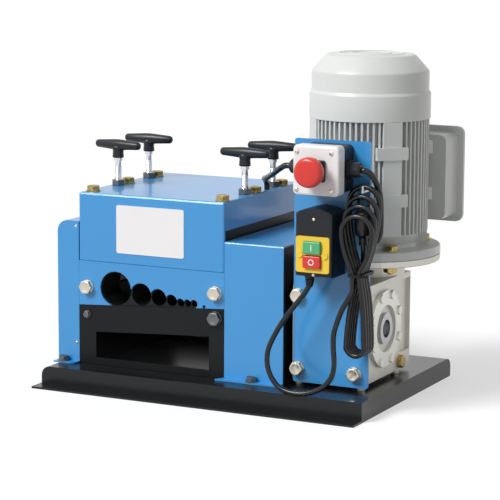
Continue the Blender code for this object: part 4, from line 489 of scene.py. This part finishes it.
# %% [markdown]
# ## Cross-head screws
# Lids and cowls are held by pan-head screws with a cross recess. The dome is spun, then a cross of two
# slots is carved out of it. The recess stays dark because light can't get in, which is how one reads such a
# screw from afar.
# %% Pan-head screws
def pan_screws(name, places, axis, radius, material):
    """Pan-head screws at several places, all pointing the same way."""
    heads, slots = bmesh.new(), bmesh.new()
    turn = Vector((0, 0, 1)).rotation_difference(Vector(axis)).to_matrix().to_4x4()
    for place in places:
        spin(heads, place, axis, [(-0.0004, radius), (0.12 * radius, radius),
                                  (0.38 * radius, 0.86 * radius),
                                  (0.55 * radius, 0.55 * radius), (0.60 * radius, 0.25 * radius)], 32)
        for quarter in (0, 1):
            made = bmesh.ops.create_cube(slots, size=1.0)["verts"]
            shape = Matrix.Diagonal((1.15 * radius, 0.26 * radius, 0.8 * radius, 1))
            spun = Matrix.Rotation(math.radians(40 + 90 * quarter), 4, "Z")
            bmesh.ops.transform(slots, verts=made, matrix=Matrix.Translation(Vector(place)) @ turn
                                @ Matrix.Translation((0, 0, 0.62 * radius)) @ spun @ shape)
    piece = piece_of(name, heads, material)
    carve(piece, slots)
    return piece


LID_SCREWS = [at(-0.0739 + sx * 0.0245, 0.0036, 0.327 + sz * 0.025) for sx in (-1, 1) for sz in (-1, 1)]
pan_screws("stop_lid_screws", LID_SCREWS, (0, -1, 0), 0.0032, CLEAR_ZINC)
pan_screws("switch_box_screws", [at(-0.0775, 0.0126, 0.2625), at(-0.0775, 0.0126, 0.1885)], (0, -1, 0),
           0.0023,
           CLEAR_ZINC)
TERMINAL = [at(-0.0772 + sx * 0.082, 0.3318, 0.292 + sz * 0.062) for sx in (-1, 1) for sz in (-1, 1)]
pan_screws("terminal_lid_screws", TERMINAL, (0, 1, 0), 0.0030, CLEAR_ZINC)
pan_screws("gear_cover_screws", [at(-0.4533 - 0.0045, 0.0427, 0.2215),
                                 at(-0.4533 - 0.0045, 0.0427, 0.0560)],
           (0, -1, 0), 0.0022, CLEAR_ZINC)
print("screws: 4 on the stop, 2 on the switch box, 4 on the terminal lid, 2 on the gear cover")

# %% [markdown]
# ## Cords
# A cable is a fixed length of something springy, so it never bends in straight runs and arcs. We write down
# a few points of its way, let a Catmull-Rom curve pass through all of them, and push a round section along
# that curve.
# %% Curves and tubes
def flowing(points, steps):
    """Close points on a smooth curve through the given ones."""
    pts = [Vector(p) for p in points]
    pts = [2 * pts[0] - pts[1]] + pts + [2 * pts[-1] - pts[-2]]
    fine = []
    for a, b, c, d in zip(pts, pts[1:], pts[2:], pts[3:]):
        for i in range(steps):
            t = i / steps
            fine.append(0.5 * (2 * b + (c - a) * t + (2 * a - 5 * b + 4 * c - d) * t * t
                               + (3 * b - 3 * c + d - a) * t ** 3))
    return fine + [pts[-2]]


def tube(name, points, radius, material, sides=18, body="frame"):
    """A round tube along close points; radius may be a function of the share of the way."""
    mesh_data = bmesh.new()
    ways = [(b - a).normalized() for a, b in zip(points, points[1:])]
    ways = [ways[0]] + [(a + b).normalized() for a, b in zip(ways, ways[1:])] + [ways[-1]]
    side, rings = ways[0].orthogonal().normalized(), []
    for i, (point, way) in enumerate(zip(points, ways)):
        side = (side - way * side.dot(way)).normalized()
        r = radius(i / (len(points) - 1)) if callable(radius) else radius
        rings.append([mesh_data.verts.new(point + r * (side * math.cos(a) + way.cross(side) * math.sin(a)))
                      for a in (2 * math.pi * k / sides for k in range(sides))])
    for low, high in zip(rings, rings[1:]):
        for i in range(sides):
            j = (i + 1) % sides
            mesh_data.faces.new((low[i], low[j], high[j], high[i]))
    mesh_data.faces.new(rings[0][::-1])
    mesh_data.faces.new(rings[-1])
    return piece_of(name, mesh_data, material, body, 60)


def run_length(points):
    return round(sum((b - a).length for a, b in zip(points, points[1:])), 4)


print("curve and tube helpers ready")

# %% [markdown]
# ## The stop's two leads
# Each lead leaves its gland straight, because the rubber seal holds it. The left one then swings over to
# the head and drops through its top. The right one goes round the post's edge and into its back.
# %% Stop leads
LEAD_R, STRAIGHT = 0.0040, 0.006
LEFT_ROUTE = ((-0.1228, 0.0370, 0.3280), (-0.1228 - STRAIGHT, 0.0370, 0.3280), (-0.1328, 0.0375, 0.3270),
              (-0.1473, 0.0520, 0.3203), (-0.1735, 0.0850, 0.3078), (-0.2019, 0.1250, 0.2965),
              (-0.2180, 0.1530, 0.2920), (-0.2285, 0.1760, 0.2880), (-0.2318, 0.1875, 0.2825),
              (-0.2320, 0.1900, 0.2713 + STRAIGHT), (-0.2320, 0.1900, 0.2713))
RIGHT_ROUTE = ((-0.0202, 0.0370, 0.3280), (-0.0202 + STRAIGHT / 2, 0.0370, 0.3280),
               (-0.0150, 0.0375, 0.3275),
               (-0.0088, 0.0390, 0.3235), (-0.0040, 0.0440, 0.3135), (-0.0022, 0.0520, 0.3007),
               (-0.0022, 0.0580, 0.2850), (-0.0041, 0.0640, 0.2480), (-0.0105, 0.0710, 0.2330),
               (-0.0240, 0.0830, 0.2250), (-0.0420, 0.0930, 0.2215), (-0.0590, 0.0940, 0.2210),
               (-0.0690, 0.0850, 0.2215), (-0.0720, 0.0588 + STRAIGHT, 0.2220), (-0.0720, 0.0588, 0.2220))
for name, route in (("left", LEFT_ROUTE), ("right", RIGHT_ROUTE)):
    way = flowing([at(*point) for point in route], 8)
    lead = tube(f"stop_lead_{name}", way, LEAD_R, PVC)
    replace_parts(lead, f"estop_lead_{name}")
    print(name, "lead:", run_length(way), "m")

# %% [markdown]
# ## The mains cord and its hank
# The mains cord hangs from the switch box in one lazy S, then goes up into a hank of four loops that a wire
# tie draws in at the waist. The loops lie side by side, each a little lower than the one behind it. One
# formula gives the half width of a loop: it swells from the waist like a quarter of a sine wave.
# %% Mains cord
CORD_R, LOOPS, STEP_Y, NEST = 0.0035, 4, 0.0080, 0.0120
HANK = {"x": -0.0180, "y": 0.0325, "top": 0.3060, "waist_z": 0.1920, "bottom": 0.0850, "waist": 0.0046,
        "upper": 0.0215, "lower": 0.0130}
MAINS_ROUTE = ((-0.0858, 0.0200, 0.1817), (-0.0858, 0.0200, 0.1747), (-0.0862, 0.0196, 0.1730),
               (-0.0921, 0.0180, 0.1623), (-0.1027, 0.0155, 0.1479), (-0.1166, 0.0120, 0.1287),
               (-0.1291, 0.0080, 0.1071), (-0.1382, 0.0050, 0.0854), (-0.1387, 0.0020, 0.0662),
               (-0.1313, -0.0010, 0.0490), (-0.1179, -0.0030, 0.0362), (-0.0997, -0.0040, 0.0312),
               (-0.0782, -0.0040, 0.0326), (-0.0578, -0.0030, 0.0411), (-0.0448, -0.0010, 0.0550),
               (-0.0412, 0.0020, 0.0727), (-0.0445, 0.0060, 0.0961), (-0.0455, 0.0090, 0.1119),
               (-0.0424, 0.0120, 0.1277), (-0.0362, 0.0148, 0.1460), (-0.0278, 0.0168, 0.1610),
               (-0.0226, 0.0165, 0.1707))


def loop_points():
    """The hank's way: up one side of a loop, over its top, down through the waist and round its bottom."""
    x0, mid, points = HANK["x"], HANK["waist_z"], []
    low = HANK["bottom"] + HANK["lower"]
    wide = lambda k, most: HANK["waist"] + (most - HANK["waist"]) * math.sin(math.pi / 2 * k / 3)
    for i in range(LOOPS):
        top = HANK["top"] - (LOOPS - 1 - i) * NEST - HANK["upper"]
        front = HANK["y"] + (i - LOOPS / 2) * STEP_Y
        over = [(x0 - HANK["upper"] * math.cos(math.pi * k / 6), front,
                 top + HANK["upper"] * math.sin(math.pi * k / 6))
                for k in range(7)]
        under = [(x0 + HANK["lower"] * math.cos(math.pi * k / 6), front,
                  low - HANK["lower"] * math.sin(math.pi * k / 6))
                 for k in range(7)]
        points += [(x0 - wide(k, HANK["upper"]), front, mid + (top - mid) * k / 3) for k in range(3)] + over
        points += [(x0 + wide(k, HANK["upper"]), front, mid + (top - mid) * k / 3) for k in (2, 1)]
        points += [(x0 + wide(k, HANK["lower"]), front,
                    mid + (low - mid) * k / 3) for k in range(3)] + under
        points += [(x0 - wide(k, HANK["lower"]), front + STEP_Y * climb, mid + (low - mid) * k / 3)
                   for k, climb in ((2, 0.5), (1, 1.0))]
    return points


waist_x, last_row, neck_z = HANK["x"] - HANK["waist"], HANK["y"] + 2 * STEP_Y, HANK["waist_z"] + 0.0370
inside = [(waist_x, HANK["y"] - 2 * STEP_Y, HANK["waist_z"] - 4 * CORD_R),
          (waist_x, HANK["y"] - 2 * STEP_Y, HANK["waist_z"] - 2 * CORD_R), *loop_points(),
          (waist_x, last_row, HANK["waist_z"]),
          (HANK["x"] - 0.8 * HANK["waist"], last_row - 0.05 * STEP_Y, HANK["waist_z"] + 0.0148),
          (HANK["x"] - 0.1 * HANK["waist"], 0.0400 + 0.2 * STEP_Y, neck_z - 2.7 * CORD_R),
          (HANK["x"], 0.0400, neck_z - 2 * CORD_R), (HANK["x"], 0.0400, neck_z - 0.0003)]
way = flowing([at(*point) for point in (*MAINS_ROUTE, *inside)], 6)
mains = tube("mains_cord_and_hank", way, CORD_R, PVC)
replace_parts(mains, "mains_cord", "cord_hank")
relief = tube("strain_relief", way[:14], lambda share: 0.0062 - 0.0022 * share, NYLON)
print("mains cord:", run_length(way), "m; relief:", run_length(way[:14]), "m")

# %% [markdown]
# ## Fan cowl and mushroom button
# The cowl over the motor's fan is pressed from sheet: a wide band that grips the motor, a step, a straight
# wall, a slanted shoulder and two raised rings on top. The mushroom of the stop is a moulded dome with a
# soft edge. Both are turned shapes, so each is one profile, spun in steps so fine that no flat shows.
# %% Cowl and mushroom
cowl = bmesh.new()
spin(cowl, at(-0.0772, 0.1938, 0), (0, 0, 1), [
    (0.4668, 0.0010), (0.4668, 0.0600), (0.4470, 0.0796), (0.4190, 0.0796), (0.4170, 0.0823),
    (0.3815, 0.0823),
    (0.3815, 0.0835), (0.4150, 0.0835), (0.4164, 0.0832), (0.4178, 0.0822), (0.4192, 0.0811),
    (0.4208, 0.0808),
    (0.4440, 0.0808), (0.4460, 0.0804), (0.4478, 0.0792), (0.4664, 0.0625), (0.4676, 0.0611),
    (0.4683, 0.0590),
    (0.4685, 0.0560), (0.4685, 0.0480), (0.4692, 0.0472), (0.4699, 0.0460), (0.4699, 0.0440),
    (0.4692, 0.0428),
    (0.4685, 0.0420), (0.4685, 0.0300), (0.4692, 0.0292), (0.4699, 0.0280), (0.4699, 0.0265),
    (0.4692, 0.0253),
    (0.4685, 0.0245), (0.4685, 0.0010)], 96)
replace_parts(piece_of("pressed_cowl", cowl, GREY), "fan_cowl")
mushroom = bmesh.new()
spin(mushroom, at(-0.0715, -0.0115, 0.328), (0, -1, 0), [
    (0, 0.0090), (0, 0.0183), (0.0008, 0.0195), (0.0028, 0.0200), (0.0085, 0.0199), (0.0112, 0.0191),
    (0.0128, 0.0174), (0.0136, 0.0148), (0.0140, 0.0100), (0.0140, 0.0010)], 72)
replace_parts(piece_of("mushroom_button", mushroom, RED_ABS, "estop_knob"), "estop_cap")
print("cowl and mushroom spun")

# %% [markdown]
# ## White plate and switch marks
# A bare white plate is glued to the head's front. The two buttons carry the plain marks for on and off, a
# bar and a ring, moulded in white. They ride on the buttons, so that they go in with them.
# %% Plate and marks
def sheet_plate(mesh_data, middle, size, radius, thick):
    """A thin upright plate with round corners; middle is on its back face."""
    outline = []
    for corner, (sx, sz) in enumerate(((1, 1), (-1, 1), (-1, -1), (1, -1))):
        for k in range(7):
            a = math.pi / 2 * (corner + k / 6)
            outline.append((sx * (size[0] / 2 - radius) + radius * math.cos(a),
                            sz * (size[1] / 2 - radius) + radius * math.sin(a)))
    back = [mesh_data.verts.new(middle + Vector((u, 0, v))) for u, v in outline]
    face = [mesh_data.verts.new(middle + Vector((u, -thick, v))) for u, v in outline]
    mesh_data.faces.new(back[::-1])
    mesh_data.faces.new(face)
    for i in range(len(outline)):
        j = (i + 1) % len(outline)
        mesh_data.faces.new((back[i], back[j], face[j], face[i]))


white_plate = bmesh.new()
sheet_plate(white_plate, at(-0.3390, FRONT, 0.2228), (0.1060, 0.0675), 0.0030, 0.0008)
piece_of("white_plate", white_plate, WHITE_ABS)
bar_mark, ring_mark = bmesh.new(), bmesh.new()
sheet_plate(bar_mark, at(-0.0775, 0.0047, 0.2255), (0.0014, 0.0080), 0.0003, 0.0003)
piece_of("on_mark", bar_mark, WHITE_ABS, "start")
spin(ring_mark, at(-0.0775, 0.0047, 0.2065), (0, -1, 0),
     [(0, 0.0028), (0, 0.0041), (0.0003, 0.0041), (0.0003, 0.0028)],
     48, True)
piece_of("off_mark", ring_mark, WHITE_ABS, "stop")
print("plate and two marks")

# %% [markdown]
# ## Studio
# A product picture needs a pale floor that runs out of the frame, a broad key light and soft fill. The
# floor has a middling colour for the light that it throws back at the machine. The camera and shiny metal
# also see some glow of its own, so the ground looks white and still keeps the machine's shadow.
# %% Floor, world and lamps
floor_mesh = bpy.data.meshes.new("studio_floor")
floor_mesh.from_pydata([(-30, -30, 0), (30, -30, 0), (30, 60, 0), (-30, 60, 0)], [], [(0, 1, 2, 3)])
studio_floor = bpy.data.objects.new("studio_floor", floor_mesh)
bpy.context.scene.collection.objects.link(studio_floor)
PAPER = bpy.data.materials.new("white paper sweep")
PAPER.use_nodes = True
shader = PAPER.node_tree.nodes["Principled BSDF"]
shader.inputs["Base Color"].default_value = (0.5, 0.5, 0.5, 1)
shader.inputs["Roughness"].default_value = 0.9
shader.inputs["Emission Color"].default_value = (1, 1, 1, 1)
ray = add(PAPER, "ShaderNodeLightPath")
seen = add(PAPER, "ShaderNodeMath", {0: 0.0},
           {0: ray.outputs["Is Camera Ray"], 1: ray.outputs["Is Glossy Ray"]},
           operation="MAXIMUM")
glow = add(PAPER, "ShaderNodeMath", {1: 0.52}, {0: seen.outputs["Value"]}, operation="MULTIPLY")
PAPER.node_tree.links.new(glow.outputs["Value"], shader.inputs["Emission Strength"])
floor_mesh.materials.append(PAPER)

world = bpy.data.worlds.new("studio_air")
bpy.context.scene.world = world
world.use_nodes = True
sky = world.node_tree.nodes["Background"]
ray = add(world, "ShaderNodeLightPath")
direct = add(world, "ShaderNodeMath", None,
             {0: ray.outputs["Is Camera Ray"], 1: ray.outputs["Is Glossy Ray"]},
             operation="MAXIMUM")
through = add(world, "ShaderNodeMath", None,
              {0: direct.outputs["Value"], 1: ray.outputs["Is Transmission Ray"]},
              operation="MAXIMUM")
level = add(world, "ShaderNodeMapRange", {"To Min": 0.24, "To Max": 1.0},
            {"Value": through.outputs["Value"]})
world.node_tree.links.new(level.outputs["Result"], sky.inputs["Strength"])
sky.inputs["Color"].default_value = (1, 1, 1, 1)


def lamp(name, toward, strength, softness):
    """A broad, far light: toward points from the machine to the lamp, softness is its width in degrees."""
    data = bpy.data.lights.new(name, "SUN")
    data.energy, data.angle = strength, math.radians(softness)
    light = bpy.data.objects.new(name, data)
    light.rotation_euler = Vector(toward).to_track_quat("Z", "Y").to_euler()
    bpy.context.scene.collection.objects.link(light)


lamp("key_softbox", (-0.50, -0.80, 0.85), 3.1, 24)
lamp("fill_softbox", (0.9, -0.5, 0.8), 0.15, 60)
bpy.context.scene.view_settings.view_transform = "Standard"
print("floor, world and two lamps")
